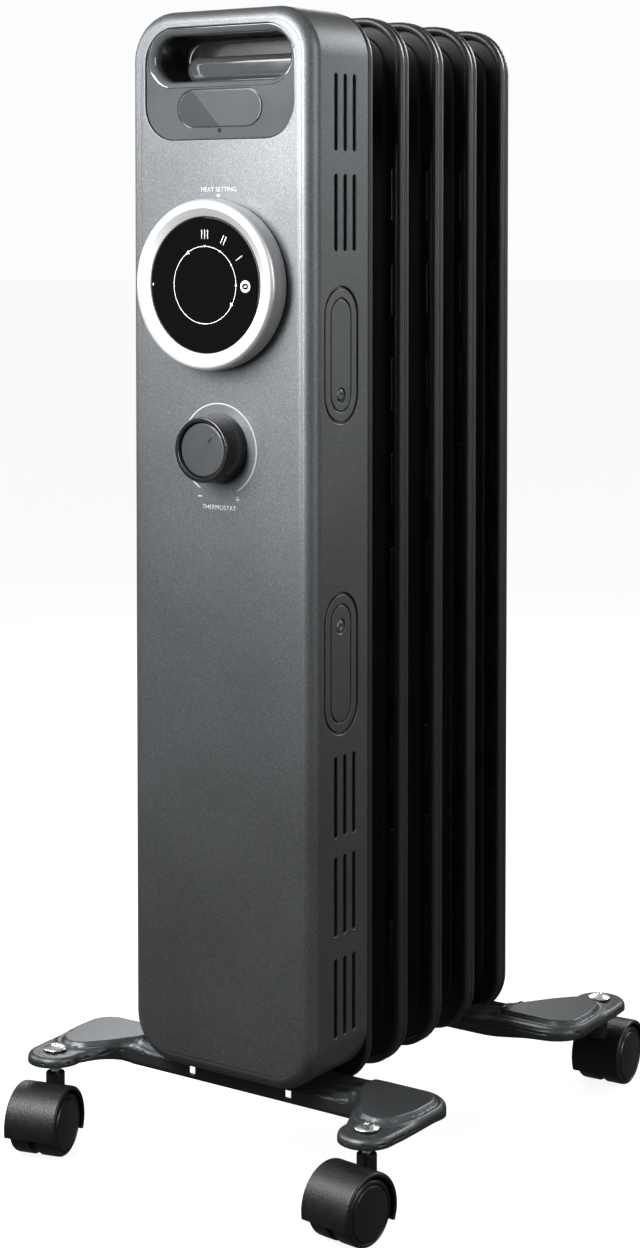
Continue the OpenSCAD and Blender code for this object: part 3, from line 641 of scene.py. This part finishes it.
def build_handle_panel():
    b = Build()

    def badge_seat(grow):
        return stadium(55.3 + 2 * grow, 20.3 + 2 * grow, 0, BADGE_Z, n=20)

    def lamp_hole(grow):
        return ring_of(1.0 + grow, 24, 0, LAMP_Z)

    rear, front = panel_outline(PANEL_GAP), panel_outline(PANEL_GAP + PANEL_EDGE)
    edge = [behind(PANEL_EDGE - out, panel_outline(PANEL_GAP + inset)) for out, inset in quarter(PANEL_EDGE)]
    b.skin([behind(PANEL_T, rear)] + edge)
    # the mouth of the grip: a crease, then a wide rounding into the pocket
    start = math.radians(20)
    mouth = [(MOUTH_R * (1 - math.sin(t)), MOUTH_R * (math.cos(start) - math.cos(t)))
             for t in np.linspace(start, math.pi / 2, 9)]
    rim = mouth[0][0]
    crease_deep, crease_grow = CREASE_STEPS[-1][0], CREASE_STEPS[0][1]
    b.plate([front, grip(rim + crease_grow), badge_seat(0.2), lamp_hole(0.15)], facing(FACE))
    b.skin([behind(deep, grip(rim + grow)) for deep, grow in CREASE_STEPS]
           + [behind(crease_deep + deep, grip(grow)) for grow, deep in mouth[1:]]
           + [behind(COLLAR_D, grip(0))])
    b.skin([behind(0, badge_seat(0.25)), behind(0.25, badge_seat(0)), behind(1.1, badge_seat(0))],
           close=(False, True))
    b.skin([behind(0, lamp_hole(0.15)), behind(0.15, lamp_hole(0)), behind(PANEL_T, lamp_hole(0))])
    b.plate([rear, grip(COLLAR_T), lamp_hole(0)], facing(FACE + PANEL_T))
    b.skin([behind(PANEL_T, grip(COLLAR_T)), behind(COLLAR_D, grip(COLLAR_T))])
    b.plate([grip(COLLAR_T), grip(0)], facing(FACE + COLLAR_D))
    put(b, "grip_panel", "heater", "panel_gloss", ["handle_panel"], sharp=24)


def build_grip_pocket():
    """The pocket behind the panel, coloured black as painted shade for its deep, unlit inside."""
    b = Build()
    shell = grip(COLLAR_T)
    b.skin([behind(COLLAR_D, shell), behind(COLLAR_D, grip(0))]
           + [behind(GRIP["d"] - POCKET_R + out, grip(-inset)) for out, inset in quarter(POCKET_R, 5)],
           close=(False, True))
    b.skin([behind(COLLAR_D, shell), behind(GRIP["d"] + COLLAR_T, shell)], close=(False, True))
    # black here is painted shade: the pocket's inside is made dark by its colour
    put(b, "grip_pocket", "heater", "black_plastic", ["handle_panel"], sharp=24)


def build_grip_ledge():
    """A bar in the pocket with rounded ends and a rounded brow, and a flat pad let into the brow."""
    b = Build()
    low = GRIP["z"] - GRIP["h"] / 2

    def ledge(inset):
        return stadium(82.0 - 2 * inset, 14.2 - 2 * inset, 1.6, low + 7.2, n=24)

    def pad(inset):
        return rounded(66 - 2 * inset, 7.6 - 2 * inset, 1.0, low + 6.9, 4) + (6.0, 0)

    b.skin([behind(GRIP["d"] - 0.2, ledge(0))]
           + [behind(LEDGE_FRONT + deep, ledge(inset)) for deep, inset in fillet(LEDGE_R, 9)],
           close=(True, True))
    b.skin([behind(deep, pad(inset)) for deep, inset in PAD_STEPS], close=(True, True))
    put(b, "grip_ledge", "heater", "panel_gloss", ["handle_panel"], LEDGE_GLOSS, sharp=24)


def build_badge():
    b = Build()

    def outline(inset):
        return stadium(54.2 - 2 * inset, 19.2 - 2 * inset, 0, BADGE_Z, n=24)
    b.skin([behind(1.08, outline(0))]
           + [behind(-0.1 + BADGE_EDGE - out, outline(inset)) for out, inset in quarter(BADGE_EDGE, 5)],
           close=(True, True))
    put(b, "blank_badge", "heater", "badge_gloss", ["badge_plate"])


def build_lamp():
    b = Build()
    lathe(b, [(0.05, -13), (0.88, -13), (0.88, -1.2), (0.7, -0.98), (0.4, -0.88), (0.05, -0.85)],
          from_face(LAMP_Z), 24, closed=False)
    put(b, "lamp_lens", "heater", "lamp_lens", ["pilot_lamp"])


# ---- dial and knob ----

GLASS_OUT = 12.1  # how far the dial's glass and the knob's cap stand out of the casing
CAP_OUT = 14.4
MARK_R = 20.2  # the printed circle on the dial
INK_LIFT = 0.05  # print stands a hair off its face
INK_T = 0.04
LABELS = [("HEAT SETTING", 524.2), ("THERMOSTAT", 356.8)]
LABEL_SIZE = 3.5


def build_dial():
    b = Build()
    lathe(b, [(44.1, 0.9), (44.7, 4.0), (45.0, 8.0), (45.0, 11.4), (44.86, 12.2), (44.5, 13.0),
              (43.9, 13.7), (43.2, 14.15), (42.6, 14.3), (40.3, 14.3), (39.9, 14.15), (36.3, 12.5),
              (35.9, 12.2), (35.7, 11.8), (35.7, 10.3), (41.4, 10.2), (41.4, 0.9)], from_face(DIAL_Z), 160)
    put(b, "dial_ring", "dial", "silver_ring", ["dial_bezel"], sharp=28)
    b = Build()
    lathe(b, [(0.05, 10.3), (35.5, 10.3), (35.5, 11.7), (35.35, 11.95), (35.0, 12.08), (34.4, GLASS_OUT),
              (0.05, GLASS_OUT)], from_face(DIAL_Z), 128, closed=False)
    put(b, "dial_face", "dial", "black_glass", ["dial_glass"])


def clock(angle, r):
    """A point at a clock angle, from the top and clockwise as seen by the user."""
    return np.array([r * math.sin(math.radians(angle)), r * math.cos(math.radians(angle))])


def turned(points, angle, centre):
    """2-D points turned clockwise by an angle and moved to a centre."""
    t = math.radians(angle)
    turn = np.array([[math.cos(t), -math.sin(t)], [math.sin(t), math.cos(t)]])
    return np.asarray(points, float) @ turn + centre


def bar_mark(half_w, half_h, centre):
    return np.array([(-half_w, -half_h), (half_w, -half_h), (half_w, half_h), (-half_w, half_h)]) + centre


def print_arc(b, r, w, a0, a1, n, y, z):
    """A thin printed band along an arc."""
    outer = [clock(t, r + w / 2) for t in np.linspace(a0, a1, n)]
    inner = [clock(t, r - w / 2) for t in np.linspace(a0, a1, n)]
    b.add([(p[0], y - INK_LIFT, z + p[1]) for p in outer + inner],
          [(i, i + 1, n + i + 1, n + i) for i in range(n - 1)])


def print_shape(b, loop, y, z, lift=INK_LIFT):
    """A printed patch. One that meets another gets a lift of its own, so that they don't share a plane."""
    b.add([(p[0], y - lift, z + p[1]) for p in loop], [tuple(range(len(loop)))])


def put_print(b, name, body, slot, ink):
    """Print gets a hair of body, so that it is a closed shape."""
    put(b, name, body, slot, material=ink, merge=1e-4, weighted=False,
        extra=lambda obj: solidify(obj, INK_T))


def build_dial_print():
    b, y = Build(), FY - GLASS_OUT
    print_arc(b, MARK_R, 0.34, 0, 360, 97, y, DIAL_Z)
    for angle in (0, 29, 58, 90):
        print_shape(b, ring_of(0.55, 20) + clock(angle, MARK_R), y, DIAL_Z, 0.06)
    for angle, way in ((-31, -1), (118, 1)):
        head = [(0, 1.15), (way * 2.3, 0.0), (0, -1.15)]
        print_shape(b, turned(head, angle + 4 * way, clock(angle, 20.0)), y, DIAL_Z, 0.07)
    for angle, count in ((0, 3), (27.5, 2), (57.5, 1)):  # the heat settings, as strokes
        for k in range(count):
            stroke = bar_mark(0.24, 2.4, ((k - (count - 1) / 2) * 1.9, 0))
            print_shape(b, turned(stroke, angle, clock(angle, 26.4)), y, DIAL_Z)
    spot = clock(91, 26.2)  # the sign for off, a disc with an oval in it
    b.plate([ring_of(3.2, 40) + spot, stadium(4.0, 3.0, n=20) + spot],
            lambda p: facing(y - INK_LIFT)(p + (0, DIAL_Z)))
    print_shape(b, stadium(1.9, 0.9, n=12) + spot, y, DIAL_Z)
    print_shape(b, arc(-34.4, 0, 0.8, -90, 90, 14), y, DIAL_Z)
    put_print(b, "dial_marks", "dial", "black_glass", WHITE_INK)


def build_knob():
    b = Build()
    lathe(b, [(18.4, 0.9), (18.3, 2.4), (17.9, 6.0), (17.45, 11.0), (17.2, 15.2), (17.08, 15.6),
              (16.8, 15.88), (16.4, 16.0), (15.3, 16.0), (14.95, 15.9), (14.75, 15.6), (14.3, 12.7),
              (0.05, 12.6), (0.05, 9.8), (3.2, 9.7), (3.2, 0.9)], from_face(KNOB_Z), 128)
    put(b, "knob_body", "thermostat_knob", "black_plastic", ["knob_shell"], sharp=30)
    b = Build()
    lathe(b, [(0.05, 12.65), (13.9, 12.65), (13.95, 13.9), (13.85, 14.2), (13.55, 14.36), (13.1, CAP_OUT),
              (0.05, CAP_OUT)], from_face(KNOB_Z), 96, closed=False)
    put(b, "knob_disc", "thermostat_knob", "knob_grey", ["knob_cap"])
    b = Build()
    pointer = turned(stadium(6.4, 0.85, upright=True, n=8), 42, clock(42, 8.9))
    print_shape(b, pointer, FY - CAP_OUT, KNOB_Z, 0.06)
    put_print(b, "knob_pointer", "thermostat_knob", "knob_grey", DARK_INK)


def label(text, z):
    """Generic lettering printed on the casing's front face."""
    curve = bpy.data.curves.new("label", "FONT")
    curve.body = text
    curve.size = LABEL_SIZE * MM
    curve.align_x = "CENTER"
    curve.resolution_u = 3
    curve.offset = -0.022 * LABEL_SIZE * MM
    holder = new_object("label", curve)
    bpy.context.view_layer.update()
    mesh = holder.to_mesh()
    points = [(v.co.x / MM, FY - INK_LIFT, z + v.co.y / MM) for v in mesh.vertices]
    faces = [tuple(p.vertices) for p in mesh.polygons]
    holder.to_mesh_clear()
    bpy.data.objects.remove(holder)
    return points, faces


def build_casing_print():
    b = Build()
    print_arc(b, 24.3, 0.95, -150, 150, 81, FY, KNOB_Z - 1)
    print_shape(b, bar_mark(1.6, 0.4, (-12.4, -26.2)), FY, KNOB_Z)
    print_shape(b, bar_mark(1.5, 0.35, (12.2, -26.6)), FY, KNOB_Z)
    print_shape(b, bar_mark(0.35, 1.5, (12.2, -26.6)), FY, KNOB_Z, 0.06)
    put_print(b, "casing_marks", "heater", "casing_paint", PALE_INK)
    b = Build()
    print_shape(b, [(-1.3, 0.9), (0, -1.1), (1.3, 0.9)], FY, 521.7)
    for text, z in LABELS:
        b.add(*label(text, z))
    put_print(b, "casing_lettering", "heater", "casing_paint", WHITE_INK)


# ---- fins ----

FIN_H = FIN_TOP - FIN_LOW
FIN_MID = FIN_LOW + FIN_H / 2
FIN_R = 26
HEADER_IN = 48
HEADERS = (FIN_LOW + HEADER_IN, FIN_TOP - HEADER_IN)
CHANNEL_W = 46
HEADER_R = 17.2
# the steps of a pressing, as (inset or growth, distance from the plate's middle)
PANEL_STEPS = [(0.0, 0.8), (0.25, 1.05), (0.75, 1.95), (1.1, 2.25), (1.5, 2.3)]
CHANNEL_STEPS = [(0.6, 2.3), (0.1, 2.5), (-0.5, 3.2), (-1.9, 5.6), (-2.6, 6.25), (-3.4, 6.5)]
SEAT_STEPS = [(HEADER_R, 6.5), (15.0, 6.4), (0.05, 6.4)]
LAST_SEAT_STEPS = [(HEADER_R, 6.5), (16.4, 6.3), (15.6, 5.7), (0.05, 5.6)]
WELD_STEPS = [(0, 0.7), (0.1, 1.2), (0.5, 1.62), (0.95, 1.7)]
WELD = dict(x=53.0, first=111.0, pitch=51.5, count=9, l=29, w=2.9)


def fin_loop(inset):
    return rounded(BODY_W - 2 * inset, FIN_H - 2 * inset, FIN_R - inset, FIN_MID)


def half_rim(full):
    """The rim's section from its middle groove to the plate, in steps like those above."""
    if not full:
        return [(0.75, 0.0), (0.8, 0.75), (5.2, 0.8)]
    turns = [math.radians(t) for t in range(-10, 181, 19)]
    lobe = [(2.2 - 2.2 * math.cos(t), 2.5 + 2.2 * math.sin(t)) for t in turns]
    groove = [(0.75, 0.0), (0.72, 0.3), (0.35, 0.62), (0.08, 1.2)]
    return groove + lobe + [(4.4, 1.7), (4.75, 1.0), (5.4, 0.8)]


def panel_loop(inset):
    return rounded(96 - 2 * inset, 558 - 2 * inset, 19 - inset, FIN_MID)


def channel_loop(grow):
    length = HEADERS[1] - HEADERS[0] + CHANNEL_W
    return stadium(length + 2 * grow, CHANNEL_W + 2 * grow, 0, FIN_MID, True, 24)


def build_fin(i):
    b = Build()
    y = FIN_Y1 + i * FIN_PITCH
    for s in (-1, 1):
        def press(steps, outline, s=s, **options):
            b.skin([facing(y + s * d)(outline(q)) for q, d in steps], **options)
        press(half_rim(s > 0 or i > 0), fin_loop)
        b.plate([fin_loop(5.4), panel_loop(0)], facing(y + s * PANEL_STEPS[0][1]))
        press(PANEL_STEPS, panel_loop)
        b.plate([panel_loop(PANEL_STEPS[-1][0]), channel_loop(CHANNEL_STEPS[0][0])],
                facing(y + s * CHANNEL_STEPS[0][1]))
        press(CHANNEL_STEPS, channel_loop)
        b.plate([channel_loop(CHANNEL_STEPS[-1][0])] + [ring_of(HEADER_R, 48, 0, z) for z in HEADERS],
                facing(y + s * CHANNEL_STEPS[-1][1]))
        for z in HEADERS:
            press(LAST_SEAT_STEPS if i == 4 and s > 0 else SEAT_STEPS, lambda q: ring_of(q, 48, 0, z),
                  close=(False, True))
        for x in (-WELD["x"], WELD["x"]):
            for k in range(WELD["count"]):
                z = WELD["first"] + WELD["pitch"] * k
                press(WELD_STEPS, lambda q: stadium(WELD["l"] - 2 * q, WELD["w"] - 2 * q, x, z, True, 7),
                      close=(True, True))
    put(b, f"fin_sheet_{i + 1}", "heater", "fin_coat", [f"fin_{i + 1}"], sharp=40)


# ---- feet ----

LOBE_R = 15.0
FOOT_HALF = 118.9
SKIRT = 47.0
BAR_BOTTOM = 41.5
ARM_TOP = 53.0
BAR_TOP = 50.0
PLATEAU = 2.2
RIBS = (36.0, 45.0, 54.0)
SHEET_T = 1.6
WINDOW_X, WINDOW_HALF = 32.0, 2.4  # the notches in the bar's edge for the bolts
# rows of mesh points along the foot's edge and round each plateau
EDGE_ROWS = (0.3, 0.8, 1.5, 2.3, 3.2, 4.2)
PLATEAU_ROWS = (5.6, 5.0, 4.4, 3.9, 2.4, 1.9, 1.4, 0.9, 0.4, -0.1, -0.8)


def foot_outline():
    """Counter-clockwise in (x, u), with u inward from the stems' line."""
    bay = [(60, 31), (70.5, 30.9), (74.5, 29.4), (77.4, 26.4), (80, 21.6), (82.8, 15), (85.4, 8.6)]
    right = np.concatenate([
        [(29.7, 31), (34.3, 31)], bay, arc(STEM_X, 0, LOBE_R, 170, 350, 36),
        [(118.6, 10), (FOOT_HALF, 22), (FOOT_HALF, 34)], arc(97.9, 44.6, 21, 0, 90, 14)])
    left = right[::-1] * (-1, 1)
    return resample(np.concatenate([right, left]), 2.2)


def plateau_outline():
    """Counter-clockwise in (x, u)."""
    points = [
        (74.5, 37), (84, 23), (93, 12.4), (101, 8.6), (109, 15), (112.9, 30), (112.9, 55.7), (67, 55.7)]
    return round_poly(points, [9, 12, 9, 8, 9, 22, 12, 4], 7)


def foot_height(p, outline, plateaus):
    """Height of the pressed sheet's upper side at each point."""
    x, u = np.abs(p[:, 0]), p[:, 1]
    edge = inside_distance(p, outline)
    raised = np.maximum(*(inside_distance(p, q) for q in plateaus))
    arm = smooth((x - 60) / 13)
    z = ARM_TOP + PLATEAU * smooth((raised + 2.6) / 2.6) - 0.9 * (1 - smooth((raised + 6.2) / 2.0))
    z = z - 0.45 * smooth((raised + 3.6) / 0.9) * (1 - smooth((raised + 2.6) / 1.2))
    z = BAR_TOP + (z - BAR_TOP) * arm
    along = smooth((x - 40) / 10) * (1 - smooth((raised + 3.5) / 3.0)) * (1 - smooth((x - 72) / 4))
    for rib in RIBS:
        z = z + 1.9 * along * np.cos(np.clip((u - rib) / 3.4, -1, 1) * math.pi / 2) ** 2
    seat = np.hypot(x - STEM_X, u)
    z = z + 0.45 * np.cos(np.clip((seat - 8.2) / 1.1, -1, 1) * math.pi / 2) ** 2
    r = 1.5 + 1.5 * arm
    d = np.clip(edge, 0, r)
    return z - (r - np.sqrt(np.maximum(r * r - (r - d) ** 2, 0)))


def skirt_bottom(p):
    x, u = np.abs(p[:, 0]), p[:, 1]
    outer = BAR_BOTTOM + (SKIRT - BAR_BOTTOM) * smooth((x - 70) / 16)
    inner = BAR_BOTTOM + 4.0 * smooth((x - 62) / 40)
    w = smooth((u - 34) / 26)
    return outer * (1 - w) + inner * w


def grid(xs, us):
    gx, gu = np.meshgrid(xs, us)
    return np.stack([gx.ravel(), gu.ravel()], 1)


def build_foot(front):
    outline = foot_outline()
    right = plateau_outline()
    plateaus = [right, right[::-1] * (-1, 1)]
    normal = normals_of(outline)
    points = [outline + normal * d for d in EDGE_ROWS]
    for q in plateaus:
        q = resample(q, 1.6)
        n = normals_of(q)
        points += [q - n * d for d in PLATEAU_ROWS]
    points.append(grid(np.arange(-118, 119, 3.1), np.arange(-14, 66, 3.1)))
    points += [grid(side * np.arange(38, 84, 1.7), np.arange(31.8, 60, 0.85)) for side in (-1, 1)]
    points = np.concatenate(points)
    points = points[inside_distance(points, outline) > 0.22]
    slots = []
    if not front:  # the last fin stands in the rear foot's bar
        slot_u = STEM_REAR - (FIN_Y1 - FY) - 4 * FIN_PITCH
        slots = [resample(rounded(BODY_W + 1.2, 10.6, 1.0, slot_u, 5), 2.5)]
    for slot in slots:
        points = points[inside_distance(points, slot) < -0.4]
    keys = np.round(points / 0.55).astype(int)
    _, first = np.unique(keys, axis=0, return_index=True)
    points = points[np.sort(first)]
    edges, start = [], 0
    for loop in [outline] + slots:
        edges += [(start + i, start + (i + 1) % len(loop)) for i in range(len(loop))]
        start += len(loop)
    flat = np.concatenate([outline] + slots + [points])
    made = geometry.delaunay_2d_cdt([Vector(q) for q in flat], edges, [], 1, 1e-5)
    sheet, tris = np.array([tuple(q) for q in made[0]]), made[2]
    for slot in slots:
        centre = np.array([sheet[list(f)].mean(0) for f in tris])
        tris = [f for f, d in zip(tris, inside_distance(centre, slot)) if d < 0]
    y0, way = (FY + STEM_FRONT, 1) if front else (FY + STEM_REAR, -1)

    def placed(p, z):
        return np.stack([p[:, 0], y0 + way * p[:, 1], z], 1)
    b = Build()
    b.add(placed(sheet, foot_height(sheet, outline, plateaus)), tris)
    top = foot_height(outline, outline, plateaus)
    low = skirt_bottom(outline)
    bar = (np.abs(outline[:, 0]) < 71) & (outline[:, 1] < 32)
    upper, lower = low + (top - low) * 0.7, low + (top - low) * 0.3
    rows = [top, np.where(bar, 48.2, upper), np.where(bar, 43.8, lower), low]
    middle = np.abs((outline[:, 0] + np.roll(outline[:, 0], -1)) / 2)
    window = [i for i in range(len(outline)) if bar[i] and front and abs(middle[i] - WINDOW_X) < WINDOW_HALF]
    rings = [placed(outline, r) for r in rows]
    b.skin(rings[:2])
    b.skin(rings[1:3], skip=window)
    b.skin(rings[2:])
    for slot in slots:
        hole_top = foot_height(slot, outline, plateaus)
        b.skin([placed(slot, hole_top), placed(slot, hole_top - 2.2)])

    name = "front_foot" if front else "rear_foot"
    put(b, name + "_sheet", "heater", "foot_paint", [name], sharp=60,
        extra=lambda obj: solidify(obj, SHEET_T, use_even_offset=False), weighted=False)


# ---- casters ----

HOOD_R = 20.5
HOOD_IN = 18.2
HOOD_HALF = 15.0
HOOD_EDGE = 1.6
HOOD_OPEN = 11.0  # the height of the hood's lower edge at its middle, and how far that edge tilts
HOOD_TILT = 6.5
HUB = [(2.72, 30.0), (2.72, 38.9), (3.5, 39.1), (3.8, 40.3), (4.5, 40.5), (5.0, 40.3), (5.2, 39.8),
       (5.2, 31.0), (5.2, 30.0)]
WHEEL = [(2.6, 2.0), (16.2, 2.0), (16.75, 2.2), (17.0, 2.7), (17.0, 11.4), (16.85, 12.4), (16.4, 13.2),
         (15.7, 13.7), (14.9, 13.85), (14.55, 13.6), (14.35, 13.1), (14.1, 13.0), (13.85, 13.25),
         (13.5, 13.9), (13.0, 14.2), (9.0, 14.6), (4.5, 14.9), (0.05, 15.0), (0.05, 12.2), (2.6, 12.2)]
CAP_NUT = [(0.05, 0.0), (6.2, 0.0), (6.5, 0.25), (6.5, 0.55), (6.2, 0.9), (5.2, 1.35), (4.0, 1.8),
           (3.0, 2.15), (2.3, 2.35), (1.6, 2.4), (1.3, 2.25), (1.1, 1.6), (0.05, 1.5)]


def stem_at(i):
    return (-STEM_X if i % 2 == 0 else STEM_X), FY + (STEM_FRONT if i < 2 else STEM_REAR)


def caster_matrix(i):
    x, y = stem_at(i)
    return Matrix.Translation((x, y, 0)) @ Matrix.Rotation(math.radians(TURNS[i]), 4, "Z")


def on_axle(x, y, h):
    """Lathed points around the axle: h runs along local x."""
    return np.stack([h, -TRAIL + x, WHEEL_R + y], 1)


def upright(x, y, h):
    return np.stack([x, y, h], 1)


def build_hood(i):
    b = Build()
    rim = [(HOOD_R - HOOD_EDGE + HOOD_EDGE * math.sin(t), HOOD_HALF - HOOD_EDGE + HOOD_EDGE * math.cos(t))
           for t in np.linspace(0.25, math.pi / 2, 5)]
    half = [(2.55, 1.5), (HOOD_IN - 1.2, 1.5), (HOOD_IN - 0.3, 1.9), (HOOD_IN, 3.0),
            (HOOD_IN, HOOD_HALF - 0.7), (HOOD_IN + 0.5, HOOD_HALF - 0.15)] + rim
    lathe(b, half + [(r, -h) for r, h in half[::-1]], on_axle, 120)

    def cut(obj):
        """Opens the hood below a slightly tilted plane and caps its wall there."""
        m = caster_matrix(i)
        plane = Matrix.Rotation(math.radians(-HOOD_TILT), 3, "X") @ Vector((0, 0, 1))
        bm = bmesh.new()
        bm.from_mesh(obj.data)
        made = bmesh.ops.bisect_plane(
            bm, geom=bm.verts[:] + bm.edges[:] + bm.faces[:], clear_inner=True,
            plane_co=m @ Vector((0, -TRAIL, HOOD_OPEN)) * MM, plane_no=m.to_3x3() @ plane)
        edges = [g for g in made["geom_cut"] if isinstance(g, bmesh.types.BMEdge)]
        bmesh.ops.triangle_fill(bm, edges=edges, use_beauty=True)
        bmesh.ops.recalc_face_normals(bm, faces=bm.faces)
        bm.to_mesh(obj.data)
        bm.free()
        obj.data.set_sharp_from_angle(angle=math.radians(34))
    b.moved(caster_matrix(i))
    body = "swivel_" + PLACES[i]
    put(b, "hood_" + PLACES[i], body, "caster_plastic", ["caster_hood_" + PLACES[i]], extra=cut)
    b = Build()
    lathe(b, HUB, upright, 48)
    b.moved(caster_matrix(i))
    put(b, "hub_" + PLACES[i], body, "caster_plastic", sharp=40)


def build_wheel(i, kind):
    side = -1 if (kind == "outer") == (i in (0, 3)) else 1
    b = Build()
    lathe(b, [(r, side * h) for r, h in WHEEL], on_axle, 112)
    b.moved(caster_matrix(i))
    put(b, f"wheel_disc_{kind}_{PLACES[i]}", f"{kind}_wheel_{PLACES[i]}", "wheel_plastic",
        [f"wheel_{kind}_{PLACES[i]}"], sharp=38)


def build_cap_nuts():
    b = Build()
    for i in range(4):
        x0, y0 = stem_at(i)
        lathe(b, CAP_NUT, lambda x, y, h: upright(x0 + x, y0 + y, ARM_TOP + h), 72, closed=False)
    put(b, "stem_cap_nuts", "heater", "chrome", ["cap_nuts"], sharp=40)


# ---- everything ----

build_casing()
build_clips()
build_clip_screws()
build_handle_panel()
build_grip_pocket()
build_grip_ledge()
build_badge()
build_lamp()
build_dial()
build_dial_print()
build_knob()
build_casing_print()
for fin_index in range(5):
    build_fin(fin_index)
build_foot(True)
build_foot(False)
for place_index in range(4):
    build_hood(place_index)
    build_wheel(place_index, "outer")
    build_wheel(place_index, "inner")
build_cap_nuts()


# ---- studio, in metres ----

FLOOR_R = 24  # both are kept inside the far clip distance of a view from afar
BACKDROP_R = 23
# azimuth to the object, in degrees from straight in front towards +X; distance, height, size, watts and
# the height aimed at
LIGHTS = {
    "key": (-20, 0.50, 0.82, (0.4, 0.4), 7.7, 0.48),
    "key_low": (-8, 0.45, 0.55, (0.12, 0.3), 3.8, 0.4),
    "left": (-75, 1.2, 0.80, (0.4, 0.6), 9.0, 0.5),
    "right": (88, 1.4, 0.80, (0.4, 0.8), 9.0, 0.4),
    "back_right": (143, 1.4, 0.70, (0.5, 0.9), 2.8, 0.4),
    "back_high": (168, 1.2, 1.00, (0.4, 0.4), 9.8, 0.4),
    "back_left": (-140, 1.3, 0.90, (0.5, 0.5), 7.9, 0.2),
}
# the world's grey from straight down, at 0, to straight up
WORLD_STOPS = [(0.0, 0.09), (0.45, 0.09), (0.5, 0.0), (0.7, 0.17), (1.0, 0.33)]
CAMERA = dict(at=(0.7539, -1.1100, 0.5039), yaw=34.55, pitch=-2.39, lens=68.84, shift=-0.2356)


def area_light(name, at, target, size, power):
    data = bpy.data.lights.new(name, "AREA")
    data.shape = "RECTANGLE"
    data.size, data.size_y = size
    data.energy = power
    light = new_object(name, data)
    light.location = at
    light.rotation_euler = (Vector(target) - Vector(at)).to_track_quat("-Z", "Y").to_euler()
    light.visible_camera = False


def stage_piece(name, bm, base, glow):
    """A pale piece of the surroundings that neither lights the object nor mirrors in it."""
    mesh = bpy.data.meshes.new(name)
    bm.to_mesh(mesh)
    bm.free()
    white = Nodes(name + "_white")
    mesh.materials.append(white.set(
        Base_Color=(base, base, base), Roughness=0.9, Emission_Color=(1, 1, 1), Emission_Strength=glow,
        Specular_IOR_Level=0.0))
    piece = new_object(name, mesh)
    piece.visible_glossy = False
    piece.visible_diffuse = False
    piece.visible_shadow = False


def grey_world():
    world = bpy.data.worlds.new("studio")
    bpy.context.scene.world = world
    world.use_nodes = True
    nodes, link = world.node_tree.nodes, world.node_tree.links.new
    nodes.clear()
    coord, split, scale, ramp, back, out = (nodes.new("ShaderNode" + kind) for kind in (
        "TexCoord", "SeparateXYZ", "MapRange", "ValToRGB", "Background", "OutputWorld"))
    scale.inputs[1].default_value = -1.0
    fill_ramp(ramp, WORLD_STOPS)
    link(coord.outputs["Generated"], split.inputs[0])
    link(split.outputs["Z"], scale.inputs[0])
    link(scale.outputs[0], ramp.inputs["Fac"])
    link(ramp.outputs["Color"], back.inputs["Color"])
    link(back.outputs[0], out.inputs[0])


def studio():
    bm = bmesh.new()
    bmesh.ops.create_circle(bm, cap_ends=True, segments=96, radius=FLOOR_R)
    stage_piece("floor", bm, 0.22, 0.9)
    bm = bmesh.new()
    bmesh.ops.create_uvsphere(bm, u_segments=48, v_segments=24, radius=BACKDROP_R)
    stage_piece("backdrop", bm, 0.0, 0.98)
    grey_world()
    for name, (azimuth, far, high, size, power, aim) in LIGHTS.items():
        t = math.radians(azimuth)
        depth = FY * MM if abs(azimuth) < 90 else 0.0
        at = (math.sin(t) * far, depth - math.cos(t) * far, high)
        area_light(name, at, (0, depth, aim), size, power)


def camera():
    data = bpy.data.cameras.new("camera")
    data.sensor_width = 36
    data.sensor_fit = "AUTO"
    data.lens = CAMERA["lens"]
    data.shift_y = CAMERA["shift"]
    cam = new_object("camera", data)
    cam.location = CAMERA["at"]
    yaw, pitch = math.radians(CAMERA["yaw"]), math.radians(CAMERA["pitch"])
    forward = Vector((-math.sin(yaw) * math.cos(pitch), math.cos(yaw) * math.cos(pitch), math.sin(pitch)))
    cam.rotation_euler = forward.to_track_quat("-Z", "Y").to_euler()
    bpy.context.scene.camera = cam


studio()
camera()
bpy.context.scene.view_settings.view_transform = "Standard"
